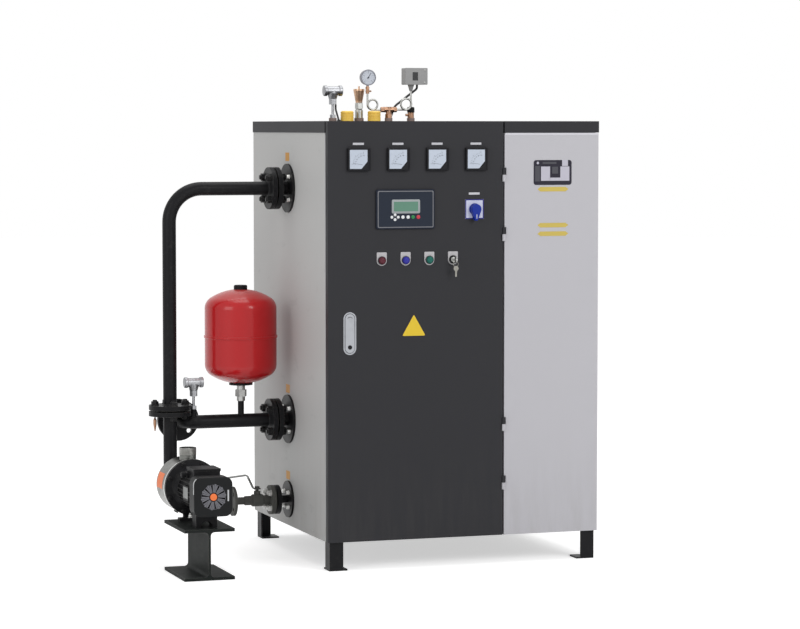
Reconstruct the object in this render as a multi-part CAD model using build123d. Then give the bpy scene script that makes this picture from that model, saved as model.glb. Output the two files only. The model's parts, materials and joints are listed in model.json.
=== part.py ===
"""Packaged electric hot water boiler: a sheet steel cabinet on four legs, with its circulation
pump on a beam stand, expansion vessel, drain valve and the gauges on its roof.

Millimetres, +X to the right, +Y to the back, +Z up. Lengths are measured from the floor under the
cabinet's front left corner. The finished pieces are moved together at the end, so that the origin
is the centre of the front left foot plate's underside.
"""
from build123d import *
from math import atan2, cos, degrees, radians, sin, sqrt
import os

# Cabinet
cabinet_width = 1000.0
cabinet_depth = 920.0
leg_height = 100.0
cabinet_height = 1450.0
sheet = 2.0
roof_band = 40.0
front_depth = 22.0
front_gap = 5.0
seam_gap = 6.0
door_width = 641.0
door_top_clearance = 1.0
base_height = 50.0
base_wall = 5.0
leg_size = 50.0
leg_wall = 5.0
leg_inset_x = 8.0
leg_inset_y = 10.0
foot_size = 65.0
foot_thickness = 6.0
frame_border = 30.0
plate_depth = 250.0
plate_thickness = 3.0

# Door hinges
hinge_heights = [1364.0, 1157.0, 491.0, 285.0]
hinge_length = 48.0
knuckle_radius = 6.0
hinge_pin_radius = 3.0
hinge_running_gap = 0.05
hinge_washer_gap = 0.5
hinge_axis_proud = 2.0
hinge_leaf = 4.0

# Instruments on the door
meter_first = 110.5
meter_pitch = 143.0
meter_drop = 131.0
meter_count = 4
meter_bezel = 80.0
meter_proud = 14.0
meter_body_radius = 33.0
meter_body_depth = 48.0
meter_corner = 4.0
meter_bevel = 3.0
meter_window = 70.0
meter_window_depth = 1.5
controller_x = 279.0
controller_drop = 172.0
controller_width = 212.0
controller_height = 136.0
controller_proud = 9.0
controller_corner = 6.0
controller_bevel = 2.0
controller_body_width = 190.0
controller_body_height = 116.0
controller_body_depth = 55.0
cutout_gap = 0.5
selector_x = 533.5
selector_drop = 2.0
selector_plate_size = 68.0
selector_plate_thickness = 3.0
selector_bush_wall = 1.5
selector_bush_depth = 40.0
selector_shaft_radius = 3.0
selector_shaft_depth = 25.0
selector_knob_radius = 20.0
selector_knob_height = 6.0
selector_hub_radius = 18.0
selector_grip_reach = 40.0
selector_tip_radius = 6.5
selector_grip_height = 24.0
selector_grip_round = 3.0
selector_running_gap = 0.5
lamp_first = 194.5
lamp_pitch = 86.8
lamp_drop = 176.0
lamp_count = 3
lamp_radius = 14.5
lamp_bezel_height = 6.0
lamp_bezel_bevel = 2.0
lamp_body_radius = 11.0
lamp_body_depth = 42.0
lens_radius = 11.0
lens_height = 9.0
legend_width = 36.0
legend_top = 28.0
legend_corner = 3.0
legend_thickness = 1.5
key_bezel_height = 7.0
key_barrel_radius = 6.0
key_barrel_proud = 8.0
key_barrel_depth = 18.0
key_hole_gap = 0.05
key_blade_thickness = 2.4
key_blade_width = 8.0
key_blade_length = 12.0
key_bow_radius = 11.0

# Flush swing handle
handle_x = 79.0
handle_z = 821.5
handle_width = 34.0
handle_length = 135.0
handle_proud = 3.0
handle_thickness = 8.0
handle_gap = 1.5
dish_wall = 1.5
dish_depth = 17.0
handle_pin_radius = 2.0
handle_pin_lift = 12.0
handle_rim = 3.0
handle_rim_proud = 1.2
handle_round = 1.5

# Ports on the left wall, and flanges: outer diameter, bolt circle, bolt hole, thickness, pipe
port_y = 470.0
outlet_z = 1312.0
return_z = 485.0
drain_z = 196.0
large_flange = dict(od=150.0, pcd=110.0, hole=18.0, thick=16.0, face=88.0, pipe=48.3, wall=2.6)
small_flange = dict(od=105.0, pcd=75.0, hole=14.0, thick=14.0, face=58.0, pipe=26.9, wall=2.3)
raised_face = 2.0
gasket_thickness = 2.0
large_disc_radius = 87.0
small_disc_radius = 66.0
disc_thickness = 8.0
neck_length = 38.0
nozzle_reach = 70.0
weld_leg = 4.0

# Piping on the left
riser_x = -438.0
bend_radius = 117.0
elbow_radius = 57.0
riser_flange_z = 529.0
suction_socket_length = 30.0
suction_socket_wall = 6.0
return_end_x = -385.0
return_end_y = 575.0
vessel_x = -178.0
vessel_radius = 131.0
vessel_bottom = 617.0
vessel_height = 338.0
vessel_wall = 3.0
vessel_crown = 200.0
vessel_knuckle = 45.0
vessel_seam_proud = 3.0
vessel_seam_width = 9.0
vessel_stub_radius = 11.0
vessel_ring_radius = 42.0
vessel_ring_depth = 7.0
vessel_cap_radius = 24.0
vessel_cap_height = 14.0
vessel_cap_bevel = 3.0
union_bottom = 556.0
union_end_radius = 15.0
union_nut_radius = 21.0
union_nut_height = 24.0
union_neck_height = 16.0
well_x = -352.0
well_radius = 10.0
well_height = 22.0

# Drain valve
valve_left = -150.0
valve_stem_x = -119.0
valve_neck_radius = 17.0
valve_ball_radius = 22.0
valve_ball_length = 36.0
valve_ball_bevel = 5.0
valve_end_length = 16.0
valve_port_radius = 10.0
valve_gland_radius = 12.0
valve_gland_height = 33.0
valve_stem_radius = 5.0
valve_nut_radius = 9.0
valve_nut_height = 6.0
valve_nut_gap = 0.3
lever_rest = 42.0
lever_toe = 4.0
lever_heel = 14.0
lever_length = 128.0
lever_knee = 38.0
lever_rise = 50.0
lever_droop = 9.0
lever_bend = 8.0
lever_width = 20.0
lever_thickness = 4.0
lever_eye_radius = 13.0
drain_end = -214.0
drain_flange_thickness = 10.0

# Pump and stand
stand_front = -50.0
stand_length = 280.0
stand_x = -434.0
beam_size = 175.0
beam_web = 7.5
beam_flange = 11.0
beam_root = 13.0
pump_axis_z = 290.0
adapter_radius = 97.0
adapter_rim = 16.0
adapter_step = 4.0
adapter_back = 190.0
adapter_bell_radius = 74.0
adapter_bell_length = 26.0
adapter_foot_width = 100.0
adapter_foot_depth = 30.0
adapter_web_width = 64.0
adapter_foot_thickness = 12.0
barrel_radius = 95.0
barrel_length = 138.0
barrel_knuckle = 22.0
barrel_rim_proud = 2.0
barrel_rim_width = 9.0
barrel_plug_radius = 9.0
barrel_plug_height = 9.0
barrel_plug_setback = 24.0
discharge_setback = 50.0
discharge_top = 422.0
discharge_radius = 29.0
discharge_bore = 22.4
discharge_depth = 40.0
suction_radius = 30.0
suction_end = 352.0
motor_radius = 56.0
motor_front = -38.0
fin_count = 28
fin_height = 8.0
fin_thickness = 2.5
fin_end_gap = 6.0
name_pad_height = 50.0
name_pad_front = -8.0
name_pad_back = 62.0
motor_foot_front = -10.0
motor_foot_back = 40.0
motor_foot_width = 74.0
motor_foot_arch = 22.0
cowl_front = -101.0
cowl_radius = 67.0
cowl_corner = 26.0
cowl_wall = 2.0
cowl_round = 5.0
grille_radius = 41.0
grille_hub = 13.0
grille_rib_count = 20
grille_rib = 3.2
grille_depth = 4.0
fan_radius = 50.0
fan_hub = 16.0
fan_disc = 3.0
fan_blade_count = 8
fan_blade_width = 26.0
fan_blade = 3.0
fan_gap = 9.0
box_width = 92.0
box_front = -22.0
box_back = 76.0
box_bottom = 335.0
box_top = 376.0
box_lid = 8.0
box_lid_proud = 2.0
box_corner = 6.0
gland_y = 50.0
gland_z = 351.0
gland_nut_radius = 13.0
gland_nut_length = 10.0
gland_dome_radius = 10.0
gland_dome_length = 18.0

# Roof fittings, on two rows
socket_rise = 12.0
roof_hole_gap = 2.0
back_row_y = 500.0
header_radius = 38.0
header_drop = 90.0
header_start = 150.0
header_end = 520.0
small_socket_radius = 14.0
valve_socket_radius = 17.0
cap_socket_radius = 20.0
cap_positions = [221.0, 323.0]
cap_radius = 23.5
cap_cover = 25.0
cap_gap = 1.0
cap_bevel = 4.0
cap_groove = 1.2

# Temperature heads
sensor_roof_x = 167.0
stem_radius = 5.0
stem_nut_radius = 10.5
stem_nut_height = 12.0
roof_stem_length = 36.0
side_stem_length = 34.0
neck_radius = 14.0
neck_height = 20.0
funnel_height = 20.0
funnel_radius = 20.0
head_rise = 17.0
head_radius = 16.0
head_half_length = 34.0
lid_radius = 19.0
lid_length = 12.0
lead_radius = 3.5
lead_offset = 11.0
lead_sway = 9.0
lead_bend = 30.0

# Safety valve, air vent and tee
safety_x = 275.5
safety_profile = [(14.5, 28.0), (10.0, 33.0), (13.0, 61.0), (19.0, 93.0), (20.0, 98.0), (20.0, 104.0)]
safety_hex_radius = 15.0
safety_hex_bottom = 33.0
safety_hex_top = 53.0
safety_tip_radius = 3.0
safety_tip_top = 114.0
vent_x = 473.0
vent_body_radius = 12.5
vent_body_height = 20.0
vent_cap_radius = 13.5
vent_cap_height = 20.0
vent_cap_round = 5.0
vent_knob_radius = 4.5
vent_knob_reach = 20.0
vent_knob_z = 9.0
tee_x = 378.0
tee_rise = 30.0
tee_radius = 10.0
tee_collar_radius = 13.0
tee_collar_height = 14.0
tee_half_length = 18.0
tee_nut_radius = 9.5
tee_nut_length = 12.0

# Gauge, pigtails and pressure switch
gauge_x = 298.0
gauge_rise = 145.0
gauge_radius = 27.0
gauge_rim = 28.5
gauge_rim_width = 5.0
gauge_depth = 24.0
gauge_face_depth = 2.0
gauge_stem_radius = 5.0
cock_rise = 96.0
cock_radius = 6.5
cock_length = 18.0
cock_handle_radius = 3.0
cock_handle_reach = 14.0
siphon_radius = 3.5
pigtail_left = 18.0
pigtail_right = 20.0
pigtail_step = 5.0
switch_x = 477.0
switch_rise = 120.0
switch_width = 84.0
switch_height = 60.0
switch_depth = 46.0
switch_corner = 3.0
switch_inlet_offset = 14.0
switch_inlet_radius = 12.0
switch_inlet_tip = 5.0
switch_inlet_length = 23.0
switch_window_width = 21.0
switch_window_height = 30.0
switch_window_depth = 2.0
switch_window_offset = 5.0
conduit_radius = 4.0
conduit_route = [(14.0, 0.0), (14.0, -14.0), (-72.0, -78.0)]
conduit_y = 484.0
conduit_end = (392.0, 500.0)
conduit_bends = [12.0, 30.0]
grommet_wall = 3.0
grommet_height = 6.0
drip_cock_offset = 55.0
drip_cock_radius = 6.0
drip_cock_height = 14.0
drip_cock_length = 53.0
drip_cock_tip = 2.0

# Drum behind the mounting plate
drum_lagging = 62.5
drum_wall = 8.0
drum_x = 500.0
drum_bottom_gap = 80.0
drum_top_gap = 102.0
drum_crown_share = 2.0
drum_knuckle_share = 0.2
skirt_setback = 40.0
branch_radius = 30.0

cabinet_bottom = leg_height
cabinet_top = leg_height + cabinet_height
wall_front = front_depth + front_gap
wall_top = cabinet_top - sheet
hinge_x = door_width + seam_gap / 2
hinge_y = -hinge_axis_proud
panel_left = door_width + seam_gap
meter_height = cabinet_top - meter_drop
controller_z = meter_height - controller_drop
selector_z = controller_z - selector_drop
lamp_height = controller_z - lamp_drop
socket_top = cabinet_top + socket_rise
header_z = cabinet_top - header_drop
tee_z = socket_top + tee_rise
gauge_z = socket_top + gauge_rise
switch_bottom = socket_top + switch_rise
drum_radius = (cabinet_depth - sheet - plate_depth - plate_thickness) / 2 - drum_lagging
drum_y = (cabinet_depth - sheet + plate_depth + plate_thickness) / 2
drum_low = cabinet_bottom + drum_bottom_gap
drum_high = cabinet_top - drum_top_gap
origin_x = leg_inset_x + foot_size / 2
origin_y = leg_inset_y + foot_size / 2
parts = {}


def block(x, y, z):
    """A box from its ranges along X, Y and Z."""
    middle = [sum(pair) / 2 for pair in (x, y, z)]
    return Pos(*middle) * Box(*[abs(pair[1] - pair[0]) for pair in (x, y, z)])


def rod_x(x, y, z, radius):
    """A round bar along X from x[0] to x[1]."""
    return Pos(sum(x) / 2, y, z) * Rot(0, 90, 0) * Cylinder(radius, abs(x[1] - x[0]))


def rod_y(x, y, z, radius):
    """A round bar along Y from y[0] to y[1]."""
    return Pos(x, sum(y) / 2, z) * Rot(90, 0, 0) * Cylinder(radius, abs(y[1] - y[0]))


def rod_z(x, y, z, radius):
    """A round bar along Z from z[0] to z[1]."""
    return Pos(x, y, sum(z) / 2) * Cylinder(radius, abs(z[1] - z[0]))


def turned(points, centre, direction):
    """A turned piece from its (radius, height) outline, standing on centre along direction."""
    outline = make_face(Polyline(*[(radius, 0, height) for radius, height in points], close=True))
    return Location(Plane(centre, z_dir=direction)) * revolve(outline, Axis.Z)


def domed(radius, knuckle, crown, low, high, x, y):
    """A closed vessel with dished ends, round a vertical axis at x, y."""
    drop = sqrt((crown - knuckle) ** 2 - (radius - knuckle) ** 2)
    turn = degrees(atan2(drop, radius - knuckle))
    top, bottom = high - crown + drop, low + crown - drop
    half = make_face([Line((0, low), (0, high)),
                      CenterArc((0, top - drop), crown, turn, 90 - turn),
                      CenterArc((radius - knuckle, top), knuckle, 0, turn),
                      Line((radius, top), (radius, bottom)),
                      CenterArc((radius - knuckle, bottom), knuckle, -turn, turn),
                      CenterArc((0, bottom + drop), crown, -90, 90 - turn)])
    return Pos(x, y, 0) * revolve(Plane.XZ * half, Axis.Z)


def hexagon(centre, direction, radius, length):
    """A hexagonal bar that starts at centre."""
    return extrude(Plane(centre, z_dir=direction) * RegularPolygon(radius, 6), amount=length)


def hull_plate(circles, x, z, y):
    """A plate across the door, stretched round (x, z, radius) circles, between two depths."""
    rims = [edge for across, up, radius in circles for edge in (Pos(across, up) * Circle(radius)).edges()]
    outline = Plane.XZ * Pos(x, z) * make_hull(rims)
    return extrude(Pos(0, y[0], 0) * outline, amount=y[1] - y[0], dir=(0, 1, 0))


def pipe(points, bends, outer, inner):
    """A round tube along straight runs that are joined by tangent bends."""
    path = FilletPolyline(*points, radius=bends) if len(points) > 2 else Line(*points)
    start = Plane(path @ 0, z_dir=path % 0)
    tube = sweep(start * Circle(outer), path)
    return tube - sweep(start * Circle(inner), path) if inner else tube


def flange(size, face, direction, drilled):
    """A pipe flange whose sealing face is at face and looks along direction."""
    back = raised_face + size["thick"]
    outline = [(size["pipe"] / 2, 0), (size["face"] / 2, 0), (size["face"] / 2, raised_face),
               (size["od"] / 2, raised_face), (size["od"] / 2, back),
               (size["pipe"] / 2 + weld_leg, back), (size["pipe"] / 2, back + weld_leg)]
    away = tuple(-value for value in direction)
    disc = turned(outline, face, away)
    if drilled:
        on_face = Location(Plane(face, z_dir=away))
        for turn in (45, 135, 225, 315):
            disc -= (on_face * Rot(0, 0, turn) * Pos(size["pcd"] / 2, 0, back / 2)
                     * Cylinder(size["hole"] / 2, 3 * back))
    return disc


def pill(x, z, width, length, y):
    """An upright bar with round ends, between two depths."""
    outline = Plane.XZ * Pos(x, z) * Rot(0, 0, 90) * SlotOverall(length, width)
    return extrude(Pos(0, y[0], 0) * outline, amount=y[1] - y[0], dir=(0, 1, 0))


def joined(pieces):
    """Several bodies that share a node, or the one body that they fuse into."""
    result = pieces[0]
    for piece in pieces[1:]:
        result = result + piece
    return result


def make_base():
    outer = block((sheet, cabinet_width - sheet), (wall_front, cabinet_depth - sheet),
                  (cabinet_bottom, cabinet_bottom + base_height))
    inner = block((sheet + base_wall, cabinet_width - sheet - base_wall),
                  (wall_front + base_wall, cabinet_depth - sheet - base_wall),
                  (cabinet_bottom + base_wall, cabinet_bottom + 2 * base_height))
    parts["base_frame"] = outer - inner


def leg_corners():
    """The outer corner of each leg, with the directions that point inwards from it."""
    x_low, x_high = leg_inset_x, cabinet_width - leg_inset_x
    y_low, y_high = leg_inset_y + wall_front - front_depth, cabinet_depth - leg_inset_y
    return [(x_low, leg_inset_y, 1, 1), (x_high, leg_inset_y, -1, 1),
            (x_low, y_high, 1, -1), (x_high, y_high, -1, -1)]


def make_legs():
    legs = []
    for x, y, right, back in leg_corners():
        top = cabinet_bottom
        across = block((x, x + right * leg_size), (y, y + back * leg_wall), (foot_thickness, top))
        along = block((x, x + right * leg_wall), (y, y + back * leg_size), (foot_thickness, top))
        foot = block((x, x + right * foot_size), (y, y + back * foot_size), (0, foot_thickness))
        legs.append(across + along + foot)
    parts["legs"] = joined(legs)


def make_walls():
    height = (cabinet_bottom, wall_top)
    depth = (wall_front + sheet, cabinet_depth)
    left = block((0, sheet), depth, height)
    for size, z in ((large_flange, outlet_z), (large_flange, return_z), (small_flange, drain_z)):
        left -= rod_x((-sheet, 2 * sheet), port_y, z, size["pipe"] / 2 + 3)
    parts["left_wall"] = left
    parts["right_wall"] = block((cabinet_width - sheet, cabinet_width), depth, height)
    parts["back_wall"] = block((sheet, cabinet_width - sheet),
                               (cabinet_depth - sheet, cabinet_depth), height)


def socket_list():
    """The roof sockets as (x, y, radius)."""
    sockets = [(sensor_roof_x, port_y, small_socket_radius), (safety_x, back_row_y, valve_socket_radius),
               (tee_x, port_y, small_socket_radius), (vent_x, back_row_y, small_socket_radius)]
    return sockets + [(x, port_y, cap_socket_radius) for x in cap_positions]


def make_roof():
    left, right, back = -sheet, cabinet_width + sheet, cabinet_depth + sheet
    outer = block((left, right), (wall_front, back), (cabinet_top - roof_band, cabinet_top))
    inner = block((0, cabinet_width), (wall_front + sheet, cabinet_depth),
                  (cabinet_top - 2 * roof_band, wall_top))
    header = block((panel_left, right), (0, wall_front + sheet),
                   (cabinet_top - roof_band, cabinet_top))
    header -= block((panel_left + sheet, cabinet_width), (sheet, wall_front),
                    (cabinet_top - 2 * roof_band, wall_top))
    roof = outer - inner + header
    for x, y, radius in socket_list():
        roof -= rod_z(x, y, (wall_top - sheet, cabinet_top + sheet), radius + roof_hole_gap)
    parts["top_cover"] = roof


def make_front_frame():
    top = cabinet_top - roof_band - 3 * sheet
    frame = block((0, cabinet_width), (wall_front, wall_front + sheet),
                  (cabinet_bottom + base_height, top))
    frame -= block((frame_border, door_width - frame_border), (0, 2 * wall_front),
                   (cabinet_bottom + base_height + frame_border, top - frame_border))
    parts["door_frame"] = frame


def knuckle_notch(low, high, side):
    """The clearance cut for a hinge, in the door (side -1) or in the panel (side 1)."""
    reach = seam_gap / 2 + sheet + hinge_leaf
    return block((hinge_x, hinge_x + side * reach), (-reach, hinge_y + reach), (low, high))


def hinge_spans():
    """Each hinge's lowest, middle and highest level."""
    return [(z - hinge_length / 2, z, z + hinge_length / 2) for z in hinge_heights]


def make_right_panel():
    low, high = cabinet_bottom, cabinet_top - roof_band - sheet
    panel = block((panel_left, cabinet_width), (0, wall_front), (low, high))
    panel -= block((panel_left + sheet, cabinet_width - sheet), (sheet, 2 * wall_front),
                   (low + sheet, high - sheet))
    for bottom, middle, top in hinge_spans():
        panel -= knuckle_notch(bottom, top, 1)
    parts["right_front_panel"] = panel


def make_hinges():
    fixed, moving = [], []
    leaf_x = seam_gap / 2 + sheet + hinge_leaf
    for bottom, middle, top in hinge_spans():
        low = (bottom, middle - hinge_washer_gap)
        high = (middle, top)
        reach = (hinge_y + hinge_leaf / 2, hinge_y + hinge_leaf / 2 + hinge_leaf)
        depth = (reach[0], front_depth - sheet)
        knuckle = rod_z(hinge_x, hinge_y, low, knuckle_radius)
        knuckle += block((hinge_x, hinge_x + leaf_x), reach, low)
        knuckle += block((panel_left + sheet, panel_left + sheet + hinge_leaf), depth, low)
        pin = rod_z(hinge_x, hinge_y, (bottom, top - 2), hinge_pin_radius)
        fixed.append(knuckle + pin)
        knuckle = rod_z(hinge_x, hinge_y, high, knuckle_radius)
        knuckle += block((hinge_x - leaf_x, hinge_x), reach, high)
        knuckle += block((door_width - sheet - hinge_leaf, door_width - sheet), depth, high)
        bore = rod_z(hinge_x, hinge_y, (middle - 5, top + 5), hinge_pin_radius + hinge_running_gap)
        moving.append(knuckle - bore)
    parts["frame_hinges"] = joined(fixed)
    parts["door_hinges"] = joined(moving)


def lamp_positions():
    return [lamp_first + lamp_pitch * number for number in range(lamp_count)]


def key_switch_x():
    return lamp_first + lamp_pitch * lamp_count


def meter_positions():
    return [meter_first + meter_pitch * number for number in range(meter_count)]


def make_door():
    low, high = cabinet_bottom, cabinet_top - door_top_clearance
    door = block((0, door_width), (0, front_depth), (low, high))
    door -= block((sheet, door_width - sheet), (sheet, 2 * front_depth), (low + sheet, high - sheet))
    through = (-sheet, 2 * sheet)
    for x in meter_positions():
        door -= rod_y(x, through, meter_height, meter_body_radius + cutout_gap)
    door -= block((controller_x - controller_body_width / 2 - cutout_gap,
                   controller_x + controller_body_width / 2 + cutout_gap), through,
                  (controller_z - controller_body_height / 2 - cutout_gap,
                   controller_z + controller_body_height / 2 + cutout_gap))
    door -= rod_y(selector_x, through, selector_z, selector_shaft_radius + 2)
    for x in lamp_positions() + [key_switch_x()]:
        door -= rod_y(x, through, lamp_height, lamp_body_radius + cutout_gap)
    dish = handle_gap + dish_wall + cutout_gap
    door -= pill(handle_x, handle_z, handle_width + 2 * dish, handle_length + 2 * dish, through)
    for bottom, middle, top in hinge_spans():
        door -= knuckle_notch(bottom, top, -1)
    parts["front_door"] = door


def make_handle():
    inside = (handle_width + 2 * handle_gap, handle_length + 2 * handle_gap)
    outside = (inside[0] + 2 * dish_wall, inside[1] + 2 * dish_wall)
    rim = (outside[0] + 2 * handle_rim, outside[1] + 2 * handle_rim)
    dish = pill(handle_x, handle_z, *outside, (0, dish_depth))
    dish += pill(handle_x, handle_z, *rim, (-handle_rim_proud, 0))
    dish -= pill(handle_x, handle_z, *inside, (-2 * handle_rim_proud, dish_depth - dish_wall))
    pivot_z = handle_z - handle_length / 2 + handle_pin_lift
    pivot_y = handle_thickness / 2 - handle_proud
    half = inside[0] / 2 + dish_wall / 2
    dish += rod_x((handle_x - half, handle_x + half), pivot_y, pivot_z, handle_pin_radius)
    parts["handle_dish"] = dish
    lever = pill(handle_x, handle_z, handle_width, handle_length,
                 (-handle_proud, handle_thickness - handle_proud))
    lever = fillet(lever.faces().sort_by(Axis.Y)[0].edges(), handle_round)
    lever -= rod_x((handle_x - half, handle_x + half), pivot_y, pivot_z,
                   handle_pin_radius + hinge_running_gap)
    parts["handle_lever"] = lever


def make_instruments():
    meters = []
    for x in meter_positions():
        half = meter_bezel / 2
        bezel = block((x - half, x + half), (-meter_proud, 0), (meter_height - half, meter_height + half))
        bezel = fillet(bezel.edges().filter_by(Axis.Y), meter_corner)
        bezel = chamfer(bezel.faces().sort_by(Axis.Y)[0].edges(), meter_bevel)
        half = meter_window / 2
        bezel -= block((x - half, x + half), (-2 * meter_proud, meter_window_depth - meter_proud),
                       (meter_height - half, meter_height + half))
        meters.append(bezel + rod_y(x, (0, meter_body_depth), meter_height, meter_body_radius))
    parts["panel_meters"] = joined(meters)
    half_x, half_z = controller_width / 2, controller_height / 2
    front = block((controller_x - half_x, controller_x + half_x), (-controller_proud, 0),
                  (controller_z - half_z, controller_z + half_z))
    front = fillet(front.edges().filter_by(Axis.Y), controller_corner)
    front = chamfer(front.faces().sort_by(Axis.Y)[0].edges(), controller_bevel)
    body_x, body_z = controller_body_width / 2, controller_body_height / 2
    front += block((controller_x - body_x, controller_x + body_x), (0, controller_body_depth),
                   (controller_z - body_z, controller_z + body_z))
    parts["controller"] = front


def make_selector():
    half = selector_plate_size / 2
    plate = block((selector_x - half, selector_x + half), (-selector_plate_thickness, 0),
                  (selector_z - half, selector_z + half))
    plate += rod_y(selector_x, (0, selector_bush_depth), selector_z,
                   selector_shaft_radius + selector_bush_wall)
    bore = rod_y(selector_x, (-half, half), selector_z, selector_shaft_radius + hinge_running_gap)
    plates = [plate - bore]
    side = legend_width / 2 - legend_corner
    corner = legend_top - legend_corner
    circles = [(0, 0, legend_width / 2), (-side, corner, legend_corner), (side, corner, legend_corner)]
    for x in lamp_positions() + [key_switch_x()]:
        holder = hull_plate(circles, x, lamp_height, (-legend_thickness, 0))
        hole = rod_y(x, (-half, half), lamp_height, lamp_body_radius + cutout_gap)
        plates.append(holder - hole)
    parts["legend_plates"] = joined(plates)
    back = -selector_plate_thickness - selector_running_gap
    step, front = back - selector_knob_height, back - selector_grip_height
    knob = rod_y(selector_x, (step, back), selector_z, selector_knob_radius)
    circles = [(0, 0, selector_hub_radius),
               (0, selector_tip_radius - selector_grip_reach, selector_tip_radius)]
    grip = hull_plate(circles, selector_x, selector_z, (front, step))
    grip = fillet(grip.faces().sort_by(Axis.Y)[0].edges(), selector_grip_round)
    shaft = rod_y(selector_x, (step, selector_shaft_depth), selector_z, selector_shaft_radius)
    parts["selector_knob"] = knob + grip + shaft


def make_lamps():
    face = -legend_thickness
    rim = lamp_radius - lamp_bezel_bevel
    lamps = []
    for x in lamp_positions():
        bezel = turned([(0, -lamp_body_depth), (lamp_body_radius, -lamp_body_depth),
                        (lamp_body_radius, 0), (lamp_radius, 0),
                        (lamp_radius, lamp_bezel_height - lamp_bezel_bevel), (rim, lamp_bezel_height),
                        (0, lamp_bezel_height)], (x, face, lamp_height), (0, -1, 0))
        lens = rod_y(x, (face - lamp_bezel_height - lens_height, face - lamp_bezel_height),
                     lamp_height, lens_radius)
        lens = fillet(lens.edges().filter_by(GeomType.CIRCLE).sort_by(Axis.Y)[0], lens_height - 1)
        lamps.append(bezel + lens)
    parts["pilot_lamps"] = joined(lamps)
    x = key_switch_x()
    barrel = turned([(0, -lamp_body_depth), (lamp_body_radius, -lamp_body_depth),
                     (lamp_body_radius, 0), (lamp_radius, 0),
                     (lamp_radius, key_bezel_height - lamp_bezel_bevel), (rim, key_bezel_height),
                     (0, key_bezel_height)], (x, face, lamp_height), (0, -1, 0))
    barrel -= rod_y(x, (-key_barrel_depth, key_barrel_depth + cutout_gap), lamp_height,
                    key_barrel_radius + key_hole_gap)
    parts["key_switch"] = barrel
    rotor = rod_y(x, (face - key_barrel_proud, key_barrel_depth), lamp_height, key_barrel_radius)
    half = key_blade_thickness / 2
    tip = face - key_barrel_proud - key_blade_length
    blade = block((x - half, x + half), (tip, face - key_barrel_proud + 1),
                  (lamp_height - key_blade_width / 2, lamp_height + key_blade_width / 2))
    bow = rod_x((x - half, x + half), tip - key_bow_radius + key_blade_thickness, lamp_height,
                key_bow_radius)
    parts["switch_key"] = rotor + blade + bow


def make_mounting_plate():
    depth = (plate_depth, plate_depth + plate_thickness)
    edge = sheet + base_wall
    foot = block((edge, cabinet_width - edge), depth,
                 (cabinet_bottom + base_wall, cabinet_bottom + base_height))
    face = block((sheet, cabinet_width - sheet), depth, (cabinet_bottom + base_height, wall_top - sheet))
    parts["mounting_plate"] = face + foot


def make_drum():
    crown, knuckle = drum_radius * drum_crown_share, drum_radius * drum_knuckle_share
    outside = domed(drum_radius, knuckle, crown, drum_low, drum_high, drum_x, drum_y)
    inside = domed(drum_radius - drum_wall, knuckle - drum_wall, crown - drum_wall,
                   drum_low + drum_wall, drum_high - drum_wall, drum_x, drum_y)
    skirt_radius = drum_radius - skirt_setback
    skirt_top = drum_low + 2 * skirt_setback
    skirt = rod_z(drum_x, drum_y, (cabinet_bottom + base_wall, skirt_top), skirt_radius)
    skirt -= rod_z(drum_x, drum_y, (cabinet_bottom, skirt_top + sheet), skirt_radius - drum_wall)
    header = rod_x((header_start, header_end), port_y, header_z, header_radius)
    for x, y, radius in socket_list():
        header += rod_z(x, y, (header_z, socket_top), radius)
    branch = rod_z(drum_x, port_y, (drum_high - skirt_setback, header_z), branch_radius)
    drum = outside + skirt + header + branch - inside
    for size, z in ((large_flange, outlet_z), (large_flange, return_z), (small_flange, drain_z)):
        drum -= rod_x((0, drum_x), port_y, z, size["pipe"] / 2)
    parts["boiler_drum"] = drum


def nozzle_face():
    """X of a wall flange's sealing face."""
    return -(neck_length + large_flange["thick"] + raised_face)


def make_ports():
    discs, nozzles, gaskets = [], [], []
    inner_end = drum_x - drum_radius + nozzle_reach
    face = nozzle_face()
    ports = ((large_flange, outlet_z, large_disc_radius), (large_flange, return_z, large_disc_radius),
             (small_flange, drain_z, small_disc_radius))
    for size, z, radius in ports:
        disc = rod_x((-disc_thickness, 0), port_y, z, radius)
        discs.append(disc - rod_x((-2 * disc_thickness, disc_thickness), port_y, z, size["pipe"] / 2))
        inner = size["pipe"] / 2 - size["wall"]
        bore = rod_x((2 * face, inner_end + neck_length), port_y, z, inner)
        nozzle = rod_x((face, inner_end), port_y, z, size["pipe"] / 2)
        nozzle += flange(size, (face, port_y, z), (-1, 0, 0), False)
        nozzles.append(nozzle - bore)
        seal = rod_x((face - gasket_thickness, face), port_y, z, size["face"] / 2)
        gaskets.append(seal - bore)
    face = riser_flange_z
    seal = rod_z(riser_x, port_y, (face, face + gasket_thickness), large_flange["face"] / 2)
    inner = large_flange["pipe"] / 2 - large_flange["wall"]
    gaskets.append(seal - rod_z(riser_x, port_y, (0, 2 * face), inner))
    parts["port_discs"] = joined(discs)
    parts["wall_nozzles"] = joined(nozzles)
    parts["flange_gaskets"] = joined(gaskets)


def make_outlet_pipe():
    size = large_flange
    outer, inner = size["pipe"] / 2, size["pipe"] / 2 - size["wall"]
    start = (nozzle_face() - gasket_thickness, port_y, outlet_z)
    end = (riser_x, port_y, riser_flange_z + gasket_thickness)
    route = [start, (riser_x, port_y, outlet_z), end]
    solid = pipe(route, bend_radius, outer, None)
    solid += flange(size, start, (1, 0, 0), False) + flange(size, end, (0, 0, -1), False)
    parts["outlet_pipe"] = solid - pipe(route, bend_radius, inner, None)


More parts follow.
